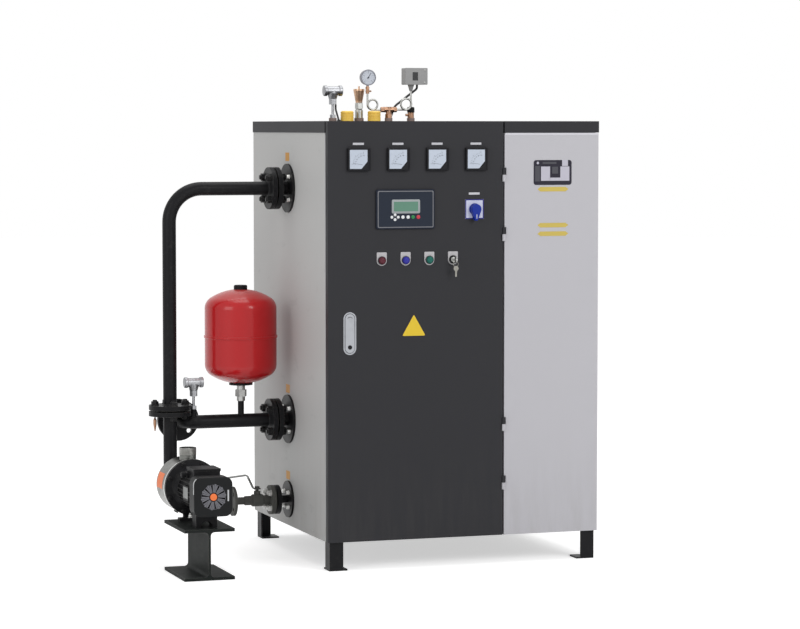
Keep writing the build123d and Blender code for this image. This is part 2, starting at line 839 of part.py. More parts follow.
def make_suction_pipe():
    size = large_flange
    outer, inner = size["pipe"] / 2, size["pipe"] / 2 - size["wall"]
    start = (riser_x, port_y, riser_flange_z)
    end = (riser_x, suction_end, pump_axis_z)
    route = [start, (riser_x, port_y, pump_axis_z), end]
    solid = pipe(route, elbow_radius, outer, None)
    solid += flange(size, start, (0, 0, 1), False)
    solid += rod_y(riser_x, (suction_end, suction_end + suction_socket_length), pump_axis_z,
                   suction_radius + suction_socket_wall)
    parts["suction_pipe"] = solid - pipe(route, elbow_radius, inner, None)


def make_return_pipe():
    size = large_flange
    outer, inner = size["pipe"] / 2, size["pipe"] / 2 - size["wall"]
    start = (nozzle_face() - gasket_thickness, port_y, return_z)
    end = (return_end_x, return_end_y, return_z)
    route = [start, (return_end_x, port_y, return_z), end]
    solid = pipe(route, elbow_radius, outer, None)
    solid += flange(size, start, (1, 0, 0), False) + flange(size, end, (0, 1, 0), True)
    solid += rod_z(vessel_x, port_y, (return_z, union_bottom), vessel_stub_radius)
    solid += rod_z(well_x, port_y, (return_z, return_z + outer + well_height), well_radius)
    solid -= pipe(route, elbow_radius, inner, None)
    parts["return_pipe"] = solid


def make_vessel():
    low, high = vessel_bottom, vessel_bottom + vessel_height
    side = vessel_radius - vessel_seam_proud
    middle = (low + high) / 2
    shell = domed(side, vessel_knuckle, vessel_crown, low, high, vessel_x, port_y)
    seam = rod_z(vessel_x, port_y, (middle - vessel_seam_width / 2, middle + vessel_seam_width / 2),
                 vessel_radius)
    shell += fillet(seam.edges().filter_by(GeomType.CIRCLE), vessel_seam_proud * 0.8)
    hollow = domed(side - vessel_wall, vessel_knuckle - vessel_wall, vessel_crown - vessel_wall,
                   low + vessel_wall, high - vessel_wall, vessel_x, port_y)
    union_top = low - sheet * 2
    nut_bottom = union_bottom + union_neck_height
    nut_top = nut_bottom + union_nut_height
    union = rod_z(vessel_x, port_y, (union_bottom, union_top), union_end_radius)
    union += hexagon((vessel_x, port_y, nut_bottom), (0, 0, 1), union_nut_radius, nut_top - nut_bottom)
    ring = rod_z(vessel_x, port_y, (union_top, union_top + vessel_ring_depth), vessel_ring_radius)
    cap = turned([(0, high - vessel_cap_bevel), (vessel_cap_radius, high - vessel_cap_bevel),
                  (vessel_cap_radius, high + vessel_cap_height - vessel_cap_bevel),
                  (vessel_cap_radius - vessel_cap_bevel, high + vessel_cap_height),
                  (0, high + vessel_cap_height)], (vessel_x, port_y, 0), (0, 0, 1))
    parts["expansion_vessel"] = shell - hollow
    parts["vessel_union"] = union
    parts["vessel_trim"] = joined([ring - shell, cap - shell])


def make_drain_valve():
    size = small_flange
    outer, inner = size["pipe"] / 2, size["pipe"] / 2 - size["wall"]
    start = nozzle_face() - gasket_thickness
    ball_left = valve_stem_x - valve_ball_length / 2
    ball_right = valve_stem_x + valve_ball_length / 2
    low, high = valve_neck_radius, valve_ball_radius
    body = turned([(0, start), (low, start), (low, ball_right + valve_ball_bevel), (high, ball_right),
                   (high, ball_left), (low, ball_left - valve_ball_bevel), (low, valve_left),
                   (0, valve_left)], (0, port_y, drain_z), (1, 0, 0))
    body += hexagon((valve_left, port_y, drain_z), (-1, 0, 0), low, valve_end_length)
    body += flange(size, (start, port_y, drain_z), (1, 0, 0), False)
    gland_top = drain_z + valve_gland_height
    body += rod_z(valve_stem_x, port_y, (drain_z, gland_top), valve_gland_radius)
    body += rod_x((drain_end, valve_left), port_y, drain_z, outer)
    disc = rod_x((drain_end, drain_end + drain_flange_thickness), port_y, drain_z, size["od"] / 2)
    for turn in (45, 135, 225, 315):
        y = port_y + size["pcd"] / 2 * cos(radians(turn))
        z = drain_z + size["pcd"] / 2 * sin(radians(turn))
        disc -= rod_x((2 * drain_end, 0), y, z, size["hole"] / 2)
    body += disc
    body -= rod_x((2 * drain_end, valve_left), port_y, drain_z, inner)
    body -= rod_x((valve_left - valve_end_length, start + neck_length), port_y, drain_z,
                  valve_port_radius)
    level = drain_z + lever_rest
    half = lever_thickness / 2
    nut_bottom = level + half + valve_nut_gap
    body += rod_z(valve_stem_x, port_y, (gland_top, nut_bottom), valve_stem_radius)
    body += hexagon((valve_stem_x, port_y, nut_bottom), (0, 0, 1), valve_nut_radius, valve_nut_height)
    parts["drain_valve"] = body
    route = FilletPolyline((valve_stem_x + lever_toe, level), (valve_stem_x - lever_heel, level),
                           (valve_stem_x - lever_knee, level + lever_rise),
                           (valve_stem_x - lever_length, level + lever_rise - lever_droop),
                           radius=lever_bend)
    arm = extrude(Plane.XZ.offset(-port_y) * trace(route, lever_thickness),
                  amount=lever_width / 2, both=True)
    eye = rod_z(valve_stem_x, port_y, (level - half, level + half), lever_eye_radius)
    bore = rod_z(valve_stem_x, port_y, (drain_z, 2 * level), valve_stem_radius + hinge_running_gap)
    parts["valve_lever"] = arm + eye - bore


def make_barrel():
    x, z = stand_x, pump_axis_z
    back = adapter_back + barrel_length
    barrel = rod_y(x, (adapter_back, back), z, barrel_radius)
    barrel = fillet(barrel.edges().filter_by(GeomType.CIRCLE).sort_by(Axis.Y)[-1], barrel_knuckle)
    barrel += rod_y(x, (adapter_back, adapter_back + barrel_rim_width), z,
                    barrel_radius + barrel_rim_proud)
    barrel += rod_y(x, (back - barrel_rim_width, suction_end), z, suction_radius)
    discharge_y = adapter_back + discharge_setback
    barrel += rod_z(x, discharge_y, (z, discharge_top), discharge_radius)
    for turn in (30, -120):
        out = (cos(radians(turn)), 0, sin(radians(turn)))
        root = (x + barrel_radius * out[0], adapter_back + barrel_plug_setback,
                z + barrel_radius * out[2])
        seat = tuple(place - 2 * way for place, way in zip(root, out))
        barrel += hexagon(seat, out, barrel_plug_radius, barrel_plug_height)
    barrel -= rod_z(x, discharge_y, (discharge_top - discharge_depth, 2 * discharge_top), discharge_bore)
    parts["pump_barrel"] = barrel


def make_adapter():
    x, z = stand_x, pump_axis_z
    length = adapter_rim + adapter_bell_length
    bell = turned([(0, 0), (adapter_radius, 0), (adapter_radius, adapter_rim),
                   (adapter_bell_radius, adapter_rim + adapter_step), (motor_radius + adapter_step, length),
                   (0, length)], (x, adapter_back, z), (0, -1, 0))
    depth = (adapter_back - adapter_foot_depth, adapter_back)
    half = adapter_foot_width / 2
    foot = block((x - half, x + half), depth, (beam_size, beam_size + adapter_foot_thickness))
    half = adapter_web_width / 2
    foot += block((x - half, x + half), (adapter_back - adapter_rim, adapter_back),
                  (beam_size, z - adapter_radius * 0.8))
    parts["pump_adapter"] = bell + foot


def box_block(proud, z, reach):
    """The terminal box's outline, grown by proud, between two levels."""
    low, high = box_front - proud, box_back + proud
    half = box_width / 2 + proud
    body = block((stand_x - half, stand_x + half), (low, high), z)
    return fillet(body.edges().filter_by(Axis.Z), reach)


def make_motor():
    x, z = stand_x, pump_axis_z
    back = adapter_back - adapter_rim - adapter_bell_length
    core = rod_y(x, (motor_front, back), z, motor_radius)
    middle = (motor_front + back) / 2
    length = back - motor_front - 2 * fin_end_gap
    fin = Box(fin_height * 2, length, fin_thickness)
    motor = core
    for number in range(fin_count):
        turn = 360 / fin_count * (number + 0.5)
        motor += Pos(x, middle, z) * Rot(0, turn, 0) * Pos(motor_radius, 0, 0) * fin
    pad_x = x - motor_radius - fin_height
    motor += block((pad_x, x), (name_pad_front, name_pad_back),
                   (z - name_pad_height / 2, z + name_pad_height / 2))
    half = motor_foot_width / 2
    foot = block((x - half, x + half), (motor_foot_front, motor_foot_back), (beam_size, z - motor_radius / 2))
    foot -= rod_y(x, (motor_front, back), beam_size, motor_foot_arch)
    motor += foot
    motor -= box_block(box_lid_proud, (box_bottom, 2 * box_top), box_corner) - core
    shield = rod_y(x, (motor_front - fan_gap, motor_front), z, cowl_radius - cowl_wall)
    fan_back = motor_front - fan_gap
    fan_front = fan_back - fan_blade_width
    fan = rod_y(x, (fan_front, motor_front), z, fan_hub)
    fan += rod_y(x, (fan_back - 2 * fan_disc, fan_back - fan_disc), z, fan_radius)
    blade = Box(fan_radius - fan_hub, fan_blade_width - 2 * fan_disc, fan_blade)
    for number in range(fan_blade_count):
        turn = 360 / fan_blade_count * number
        fan += (Pos(x, (fan_front + fan_back) / 2 - fan_disc, z) * Rot(0, turn, 0)
                * Pos((fan_radius + fan_hub) / 2 - fan_disc, 0, 0) * blade)
    parts["motor_frame"] = motor + shield + fan
    box = box_block(0, (box_bottom, box_top - box_lid), box_corner)
    box += box_block(box_lid_proud, (box_top - box_lid, box_top), box_corner)
    side = x - box_width / 2
    box += hexagon((side + 1, gland_y, gland_z), (-1, 0, 0), gland_nut_radius, gland_nut_length + 1)
    dome = rod_x((side - gland_nut_length - gland_dome_length, side), gland_y, gland_z, gland_dome_radius)
    box += fillet(dome.edges().filter_by(GeomType.CIRCLE).sort_by(Axis.X)[0], gland_dome_radius / 2)
    parts["terminal_box"] = box - core


def make_cowl():
    x, z = stand_x, pump_axis_z

    def shell(size, corner, y):
        outline = Plane.XZ.offset(-y[1]) * Pos(x, z) * RectangleRounded(2 * size, 2 * size, corner)
        return extrude(outline, amount=y[1] - y[0])

    outside = shell(cowl_radius, cowl_corner, (cowl_front, motor_front))
    outside = fillet(outside.faces().sort_by(Axis.Y)[0].edges(), cowl_round)
    inside = shell(cowl_radius - cowl_wall, cowl_corner - cowl_wall,
                   (cowl_front + grille_depth, motor_front + cowl_wall))
    cowl = outside - inside
    depth = (cowl_front, cowl_front + grille_depth)
    cowl -= rod_y(x, (2 * cowl_front, motor_front), z, grille_radius)
    grille = rod_y(x, depth, z, grille_hub)
    rib = Box(grille_radius - grille_hub + 2, grille_depth, grille_rib)
    for number in range(grille_rib_count):
        turn = 360 / grille_rib_count * number
        grille += (Pos(x, sum(depth) / 2, z) * Rot(0, turn, 0)
                   * Pos((grille_radius + grille_hub) / 2, 0, 0) * rib)
    parts["fan_cowl"] = cowl + grille


def make_stand():
    beam = Rectangle(beam_size, beam_size)
    hollow = Rectangle((beam_size - beam_web) / 2, beam_size - 2 * beam_flange)
    shift = (beam_size + beam_web) / 4
    for side in (-1, 1):
        inner = hollow.vertices().sort_by(Axis.X)[:2] if side > 0 else hollow.vertices().sort_by(Axis.X)[2:]
        beam -= Pos(side * shift, 0) * fillet(inner, beam_root)
    outline = Plane.XZ.offset(-stand_front) * Pos(stand_x, beam_size / 2) * beam
    parts["pump_stand"] = extrude(outline, amount=-stand_length)


def temperature_head(x, base, stem_length):
    """A connection head with two lids on its neck and stem, standing on base."""
    y = port_y
    neck = base + stem_nut_height + stem_length
    funnel = neck + neck_height
    centre = funnel + funnel_height + head_rise - head_radius / 2
    head = hexagon((x, y, base), (0, 0, 1), stem_nut_radius, stem_nut_height)
    head += rod_z(x, y, (base, funnel), stem_radius)
    head += hexagon((x, y, neck), (0, 0, 1), neck_radius, neck_height)
    head += turned([(0, funnel), (neck_radius, funnel), (funnel_radius, funnel + funnel_height),
                    (0, funnel + funnel_height)], (x, y, 0), (0, 0, 1))
    head += rod_z(x, y, (funnel + funnel_height, centre), head_radius)
    head += rod_x((x - head_half_length, x + head_half_length), y, centre, head_radius)
    for side in (-1, 1):
        lid = rod_x((x + side * (head_half_length - lid_length), x + side * head_half_length), y, centre,
                    lid_radius)
        head += fillet(lid.edges().filter_by(GeomType.CIRCLE), 2)
    return head


def make_temperature_heads():
    well_top = return_z + large_flange["pipe"] / 2 + well_height
    parts["temperature_sensors"] = joined([temperature_head(sensor_roof_x, socket_top, roof_stem_length),
                                           temperature_head(well_x, well_top, side_stem_length)])


def make_socket_caps():
    caps = []
    low, high = cabinet_top + cap_gap, socket_top + cap_cover
    for x in cap_positions:
        cap = rod_z(x, port_y, (low, high), cap_radius)
        cap = chamfer(cap.edges().filter_by(GeomType.CIRCLE).sort_by(Axis.Z)[-1], cap_bevel)
        for share in (0.4, 0.7):
            level = low + (high - low) * share
            groove = rod_z(x, port_y, (level, level + 2 * cap_groove), cap_radius + cap_groove)
            cap -= groove - rod_z(x, port_y, (low, high), cap_radius - cap_groove)
        caps.append(cap - rod_z(x, port_y, (0, socket_top), cap_socket_radius))
    parts["socket_caps"] = joined(caps)


def make_valves():
    outline = [(0, 0), (safety_profile[0][0], 0)] + safety_profile + [(0, safety_profile[-1][1])]
    safety = turned(outline, (safety_x, back_row_y, socket_top), (0, 0, 1))
    safety += hexagon((safety_x, back_row_y, socket_top + safety_hex_bottom), (0, 0, 1),
                      safety_hex_radius, safety_hex_top - safety_hex_bottom)
    safety += rod_z(safety_x, back_row_y, (socket_top, socket_top + safety_tip_top), safety_tip_radius)
    parts["safety_valve"] = safety
    tee = rod_z(tee_x, port_y, (socket_top, tee_z + tee_radius), tee_radius)
    tee += hexagon((tee_x, port_y, socket_top), (0, 0, 1), tee_collar_radius, tee_collar_height)
    tee += rod_x((tee_x - tee_half_length, tee_x + tee_half_length), port_y, tee_z, tee_radius)
    for side in (-1, 1):
        tee += hexagon((tee_x + side * tee_half_length, port_y, tee_z), (side, 0, 0), tee_nut_radius,
                       tee_nut_length)
    cap_low = socket_top + vent_body_height
    vent = hexagon((vent_x, back_row_y, socket_top), (0, 0, 1), vent_body_radius, vent_body_height / 3)
    vent += rod_z(vent_x, back_row_y, (socket_top, cap_low), vent_body_radius - 1)
    knob_z = socket_top + vent_knob_z
    vent += rod_x((vent_x - vent_knob_reach, vent_x), back_row_y, knob_z + 2, vent_knob_radius)
    cap = rod_z(vent_x, back_row_y, (cap_low, cap_low + vent_cap_height), vent_cap_radius)
    vent += fillet(cap.edges().filter_by(GeomType.CIRCLE).sort_by(Axis.Z)[-1], vent_cap_round)
    cock_x = riser_x - drip_cock_offset
    cock_top = riser_flange_z - raised_face - large_flange["thick"]
    cock = turned([(0, 0), (drip_cock_radius, -drip_cock_height), (drip_cock_radius, -2 * drip_cock_height),
                   (drip_cock_tip, -drip_cock_length), (0, -drip_cock_length)],
                  (cock_x, port_y, cock_top), (0, 0, 1))
    parts["brass_fittings"] = joined([tee, vent, cock])


def make_gauge():
    x, y = gauge_x, port_y
    front, back = y - gauge_depth / 2, y + gauge_depth / 2
    gauge = rod_y(x, (front, back), gauge_z, gauge_radius)
    gauge += rod_y(x, (front, front + gauge_rim_width), gauge_z, gauge_rim)
    gauge = fillet(gauge.edges().filter_by(GeomType.CIRCLE).sort_by(Axis.Y)[-1], 3)
    dial = gauge_radius - 2
    gauge -= rod_y(x, (front - gauge_depth, front + gauge_face_depth), gauge_z, dial)
    cock_z = socket_top + cock_rise
    low = cock_z - cock_length / 2
    gauge += rod_z(x, y, (low, gauge_z - gauge_radius + 2), gauge_stem_radius)
    gauge += hexagon((x, y, cock_z + cock_length / 2), (0, 0, 1), cock_radius + 1, cock_length / 3)
    gauge += rod_x((x - cock_radius, x + cock_handle_reach), y, cock_z, cock_handle_radius)
    gauge += rod_z(x, y, (low, cock_z + cock_length / 2), cock_radius)
    parts["pressure_gauge"] = gauge


def pigtail(x, turn_radius):
    """The loop of a siphon tube, lying beside the bend that it belongs to."""
    centre = (x, port_y - pigtail_step, tee_z + turn_radius)
    return Location(Plane(centre, z_dir=(0, 1, 0))) * Torus(turn_radius, siphon_radius)


def make_siphons():
    y = port_y
    reach = tee_half_length + tee_nut_length
    inlet_x = switch_x - switch_inlet_offset
    cock_bottom = socket_top + cock_rise - cock_length / 2
    left = pipe([(gauge_x, y, cock_bottom), (gauge_x, y, tee_z), (tee_x - reach, y, tee_z)],
                pigtail_left, siphon_radius, None)
    left += pigtail(gauge_x + pigtail_left, pigtail_left)
    right = pipe([(tee_x + reach, y, tee_z), (inlet_x, y, tee_z),
                  (inlet_x, y, switch_bottom - switch_inlet_length)], pigtail_right, siphon_radius, None)
    right += pigtail(inlet_x - pigtail_right, pigtail_right)
    parts["siphon_tubes"] = joined([left, right])


def grommet(end, radius):
    """The collar on the roof that a lead goes through."""
    return rod_z(end[0], end[1], (cabinet_top, cabinet_top + grommet_height), radius + grommet_wall)


def make_switch():
    y = port_y
    half, depth = switch_width / 2, switch_depth / 2
    switch = block((switch_x - half, switch_x + half), (y - depth, y + depth),
                   (switch_bottom, switch_bottom + switch_height))
    switch = fillet(switch.edges().filter_by(Axis.Y), switch_corner)
    inlet_x = switch_x - switch_inlet_offset
    tip = switch_bottom - switch_inlet_length
    switch += turned([(0, tip), (switch_inlet_tip, tip), (switch_inlet_radius, switch_bottom),
                      (0, switch_bottom)], (inlet_x, y, 0), (0, 0, 1))
    middle = switch_x - switch_window_offset
    level = switch_bottom + switch_height / 2
    switch -= block((middle - switch_window_width / 2, middle + switch_window_width / 2),
                    (y - 2 * depth, y - depth + switch_window_depth),
                    (level - switch_window_height / 2, level + switch_window_height / 2))
    parts["pressure_switch"] = switch
    route = [(switch_x + across, conduit_y, switch_bottom + up) for across, up in conduit_route]
    end = (*conduit_end, cabinet_top + grommet_height / 2)
    conduit = pipe(route + [end], conduit_bends, conduit_radius, None) + grommet(end, conduit_radius)
    neck = socket_top + stem_nut_height + roof_stem_length
    lead_x = sensor_roof_x + lead_offset
    end = (lead_x + lead_sway, port_y - lead_sway, cabinet_top + grommet_height / 2)
    lead = pipe([(lead_x, port_y, neck), (lead_x, port_y, neck - lead_radius * 5), end],
                lead_bend, lead_radius, None)
    parts["switch_conduit"] = joined([conduit, lead + grommet(end, lead_radius)])


make_base()
make_legs()
make_walls()
make_roof()
make_front_frame()
make_right_panel()
make_hinges()
make_door()
make_handle()
make_instruments()
make_selector()
make_lamps()
make_mounting_plate()
make_drum()
make_ports()
make_outlet_pipe()
make_suction_pipe()
make_return_pipe()
make_vessel()
make_drain_valve()
make_barrel()
make_adapter()
make_motor()
make_cowl()
make_stand()
make_temperature_heads()
make_socket_caps()
make_valves()
make_gauge()
make_siphons()
make_switch()

os.makedirs("parts", exist_ok=True)
for name, solid in parts.items():
    export_step(Pos(-origin_x, -origin_y, 0) * solid, f"parts/{name}.step")
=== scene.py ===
# %% [markdown]
# # Packaged electric hot water boiler
# This script dresses a finished construction model. The model gives every piece its true size and
# place. What is left is the work of the paint shop and the fitter: the finish of each surface, and
# the bolts, dials, keys and blank plates that are too small to be worth a solid of their own.

import json
from math import cos, pi, radians, sin

import bmesh
import bpy
from mathutils import Matrix, Vector


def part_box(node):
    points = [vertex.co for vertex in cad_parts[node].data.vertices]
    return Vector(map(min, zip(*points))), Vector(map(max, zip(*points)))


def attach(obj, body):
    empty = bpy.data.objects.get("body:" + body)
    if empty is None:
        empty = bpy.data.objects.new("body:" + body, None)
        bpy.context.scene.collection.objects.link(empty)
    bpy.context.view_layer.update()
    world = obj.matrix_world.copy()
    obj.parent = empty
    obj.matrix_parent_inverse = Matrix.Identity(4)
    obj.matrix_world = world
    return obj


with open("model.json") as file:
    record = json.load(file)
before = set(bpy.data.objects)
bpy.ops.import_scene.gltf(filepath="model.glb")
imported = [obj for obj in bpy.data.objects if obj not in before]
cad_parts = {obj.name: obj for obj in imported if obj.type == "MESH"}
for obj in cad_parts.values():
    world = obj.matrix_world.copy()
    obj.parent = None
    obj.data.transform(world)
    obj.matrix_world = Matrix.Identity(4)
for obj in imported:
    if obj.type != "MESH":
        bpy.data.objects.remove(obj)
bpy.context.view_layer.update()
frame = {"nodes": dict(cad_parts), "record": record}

# %% [markdown]
# ## Where things are
# A cabinet is measured from one corner: here the foot of the door's left edge, with heights from
# the floor. Places could be typed in the model's own frame, but then each would have to follow its
# origin, so a helper adds the corner that the wall and the panel give.

# %% Places on the cabinet
mm = 0.001
wall_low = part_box("left_wall")[0]
panel_low, panel_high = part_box("right_front_panel")


def cabinet(x, y, z):
    """A place given in millimetres from the floor under the door's left edge."""
    return Vector((wall_low.x + x * mm, panel_low.y + y * mm, z * mm))


def level(z):
    """A height in millimetres above the floor."""
    return z * mm


lamp_first, lamp_pitch, lamp_z = 194.5, 86.8, 1071.0
key_x, key_z = lamp_first + 3 * lamp_pitch, lamp_z
print("cabinet origin in the model:", [round(value, 4) for value in cabinet(0, 0, 0)])

# %% [markdown]
# ## Shader sums
# A finish is mostly arithmetic on a few noise patterns. It could be a long list of linked nodes,
# but sums are easier to read, so a small class wraps an output socket and adds the Math node.

# %% A socket that can be added and multiplied
class Wire:
    """One output of a shader node, used in sums as if it were a number."""

    def __init__(self, finish, socket):
        self.finish, self.socket = finish, socket

    def sum(self, operation, first, second):
        return self.finish.node("ShaderNodeMath", {"operation": operation}, [first, second])

    def __add__(self, other):
        return self.sum("ADD", self, other)

    def __radd__(self, other):
        return self.sum("ADD", other, self)

    def __sub__(self, other):
        return self.sum("SUBTRACT", self, other)

    def __rsub__(self, other):
        return self.sum("SUBTRACT", other, self)

    def __mul__(self, other):
        return self.sum("MULTIPLY", self, other)

    def __rmul__(self, other):
        return self.sum("MULTIPLY", other, self)

    def __gt__(self, other):
        return self.sum("GREATER_THAN", self, other)


# %% [markdown]
# ## A finish and its patterns
# Every finish starts from the surface's own place, some noise and the shader. Each material could
# wire these again by hand. A class does it once, and each of its methods is one useful pattern:
# cloudy noise, a soft step, a mix of two colours, worn edges, or fine relief.

# %% A finish under construction
class Finish:
    """A material, its shader and the helpers that its patterns are made with."""

    def __init__(self, name, colour, roughness=0.5, metallic=0.0, **fixed):
        self.material = bpy.data.materials.new(name)
        self.material.use_nodes = True
        self.tree = self.material.node_tree
        self.shader = self.tree.nodes["Principled BSDF"]
        self.set("Base Color", colour)
        self.set("Roughness", roughness)
        self.set("Metallic", metallic)
        for socket, value in fixed.items():
            self.set(socket.replace("_", " "), value)
        self.place = self.node("ShaderNodeTexCoord", out="Object")
        self.x, self.y, self.z = self.split(self.place)

    def plug(self, socket, value):
        if isinstance(value, Wire):
            self.tree.links.new(value.socket, socket)
        elif socket.type == "RGBA" and len(value) == 3:
            socket.default_value = (*value, 1.0)
        else:
            socket.default_value = value

    def set(self, socket, value):
        self.plug(self.shader.inputs[socket], value)

    def node(self, kind, settings=None, sockets=None, out=0):
        """Any node: its settings first, then its sockets by name or in order."""
        made = self.tree.nodes.new(kind)
        for name, value in (settings or {}).items():
            setattr(made, name, value)
        pairs = sockets.items() if isinstance(sockets, dict) else enumerate(sockets or [])
        for name, value in pairs:
            self.plug(made.inputs[name], value)
        return Wire(self, made.outputs[out])

    def split(self, vector):
        parts = self.tree.nodes.new("ShaderNodeSeparateXYZ")
        self.plug(parts.inputs[0], vector)
        return [Wire(self, parts.outputs[axis]) for axis in "XYZ"]

    def noise(self, scale, detail=3.0, rough=0.55, stretch=(1, 1, 1)):
        """Cloudy noise from 0 to 1, with scale in waves to the metre."""
        place = self.node("ShaderNodeMapping", {}, {"Vector": self.place, "Scale": stretch})
        return self.node("ShaderNodeTexNoise", {}, {"Vector": place, "Scale": scale,
                                                    "Detail": detail, "Roughness": rough})

    def step(self, value, low, high):
        """A soft step, 0 below low and 1 above high."""
        return self.node("ShaderNodeMapRange", {"interpolation_type": "SMOOTHSTEP"},
                         {"Value": value, "From Min": low, "From Max": high})

    def mix(self, factor, first, second):
        """The first colour where factor is 0, the second where it is 1."""
        return self.node("ShaderNodeMix", {"data_type": "RGBA"}, {0: factor, 6: first, 7: second}, out=2)

    def worn_edge(self, radius, amount=0.12):
        """1 along sharp outer edges, broken up by noise."""
        rounded = self.node("ShaderNodeBevel", {"samples": 4}, {"Radius": radius})
        flat = self.node("ShaderNodeNewGeometry", out="Normal")
        turned_off = 1 - self.node("ShaderNodeVectorMath", {"operation": "DOT_PRODUCT"},
                                   [rounded, flat], out="Value")
        return self.step(turned_off + 0.1 * self.noise(60), amount, amount + 0.12)

    def bump(self, height, distance, strength=1.0):
        self.set("Normal", self.node("ShaderNodeBump", {}, {"Height": height, "Distance": distance,
                                                            "Strength": strength}))


# %% [markdown]
# ## Colours from a paint chart
# A chart gives a colour as three numbers from 0 to 255, as a screen shows it. The shader wants
# linear light. It is easy to convert by eye and get it wrong, so one function does it for all.

# %% Linear colours
def paint(red, green, blue):
    """The linear colour of an sRGB colour given from 0 to 255."""
    return tuple((value / 255 / 12.92) if value <= 10 else ((value / 255 + 0.055) / 1.055) ** 2.4
                 for value in (red, green, blue))


def darker(colour, share):
    """A colour with only a share of its light."""
    return tuple(value * share for value in colour)


print("mid grey in linear light:", round(paint(128, 128, 128)[0], 3))

# %% [markdown]
# ## Powder coat
# The sheet steel is powder coated. Powder melts into a skin with a fine pebbled surface. A flat
# grey would look like plastic, so the pebbles go into the relief, which breaks up the sheen although
# the colour hardly varies. Dust lies low down, and the left wall has the scuffs of handling.

# %% Powder coat finishes
pebble_waves, dust_top, dust_foot = 420.0, 0.62, 0.08
floor_dust, rubbed_edge = paint(128, 124, 116), paint(150, 150, 152)


def powder_coat(name, colour, sheen, gloss, dirt, scuffs=0.0):
    """Pebbled powder coat with dust near the floor and, if asked for, dark scuffs."""
    finish = Finish(name, colour, Specular_IOR_Level=gloss)
    cloud = finish.noise(3.0, 4.0)
    fine = finish.noise(700.0, 2.0)
    streak = finish.noise(26.0, 5.0, 0.65, (1, 1, 0.12))
    near_floor = finish.step(finish.z + 0.25 * cloud, dust_top, dust_foot)
    dusty = near_floor * finish.step(streak, 0.35, 0.75) * dirt
    shade = finish.mix(cloud * 0.22, colour, darker(colour, 0.86))
    if scuffs:
        scuffed = finish.step(finish.noise(7.0, 6.0, 0.6, (1, 1, 2.5)), 0.60, 0.72) * scuffs
        shade = finish.mix(scuffed, shade, darker(colour, 0.45))
    worn = finish.worn_edge(0.0008, 0.16) * 0.25
    finish.set("Base Color", finish.mix(worn, finish.mix(dusty, shade, floor_dust), rubbed_edge))
    finish.set("Roughness", sheen + 0.10 * cloud + 0.06 * fine)
    finish.bump(finish.noise(pebble_waves, 2.0) + 0.4 * fine, 0.0003, 0.35)
    return finish.material


charcoal_coat = powder_coat("charcoal_powder_coat", paint(47, 47, 50), 0.46, 0.14, 0.05)
pale_coat = powder_coat("pale_powder_coat", paint(186, 185, 190), 0.52, 0.2, 0.20)
wall_coat = powder_coat("pale_wall_coat", paint(189, 189, 188), 0.52, 0.2, 0.22, 0.16)
print("powder coats:", charcoal_coat.name, pale_coat.name, wall_coat.name)

# %% [markdown]
# ## Brushed black enamel
# Pipes, flanges, legs and the beam are brushed with black enamel on site. The marks of the brush
# could be modelled, but they are a fraction of a millimetre high, so they are relief in the finish.
# Where spanners and boots touch an edge, the enamel thins to bare metal.

# %% Black enamel finishes
def black_enamel(name, colour, sheen, wear, gloss):
    """Enamel with brush marks, a little dust and edges worn by the share that wear gives."""
    finish = Finish(name, colour, Specular_IOR_Level=gloss)
    cloud = finish.noise(14.0, 5.0, 0.6)
    brush = finish.noise(90.0, 3.0, 0.6, (1, 1, 0.25))
    dust = finish.noise(45.0, 6.0, 0.7)
    base = finish.mix(finish.step(dust, 0.50, 0.80) * 0.14, colour, paint(96, 94, 90))
    bare = finish.worn_edge(0.0012) * wear
    finish.set("Base Color", finish.mix(bare, base, paint(150, 146, 140)))
    finish.set("Metallic", bare * 0.8)
    finish.set("Roughness", sheen + 0.18 * cloud + 0.10 * dust)
    finish.bump(brush + 0.5 * cloud, 0.0008, 0.35)
    return finish.material


pipe_enamel = black_enamel("pipe_enamel", paint(24, 24, 26), 0.26, 0.4, 0.12)
pump_enamel = black_enamel("pump_enamel", paint(26, 26, 28), 0.34, 0.3, 0.10)
stand_enamel = black_enamel("stand_enamel", paint(36, 39, 38), 0.42, 0.5, 0.05)
iron_enamel = black_enamel("iron_enamel", paint(86, 86, 83), 0.48, 0.6, 0.14)
print("enamels:", pipe_enamel.name, pump_enamel.name, stand_enamel.name, iron_enamel.name)

# %% [markdown]
# ## Red enamel
# The expansion vessel is sprayed a deep gloss red over pressed steel. One glossy layer would either
# mirror too sharply or look dull, so a thin clear coat lies over a softer red, with the slight
# orange peel of the spray gun. Dust lies on the upper dome, found by where the surface looks up.

# %% Red enamel finish
def red_enamel():
    finish = Finish("red_enamel", paint(176, 22, 28), 0.34, Coat_Weight=0.45, Coat_Roughness=0.12,
                    Specular_IOR_Level=0.2)
    cloud = finish.noise(9.0, 3.0)
    upward = finish.split(finish.node("ShaderNodeNewGeometry", out="Normal"))[2]
    dust = finish.step(upward + 0.3 * finish.noise(60.0, 6.0, 0.7), 0.75, 1.25) * 0.22
    red = finish.mix(cloud * 0.4, paint(186, 18, 24), paint(160, 12, 19))
    finish.set("Base Color", finish.mix(dust, red, paint(190, 120, 112)))
    finish.set("Roughness", 0.28 + 0.12 * cloud + 0.3 * dust)
    finish.bump(finish.noise(160.0, 2.0), 0.0006, 0.25)
    return finish.material


vessel_enamel = red_enamel()
print("vessel:", vessel_enamel.name)

# %% [markdown]
# ## Bare metals
# Zinc plate is dull, stainless is brushed round its axis, and brass shows the rings of the lathe.
# Each could have a recipe of its own, but they differ only in tone and in the way the brush went,
# so one recipe takes both. The tones are written darker than they look, because a metal mirrors
# the white room.

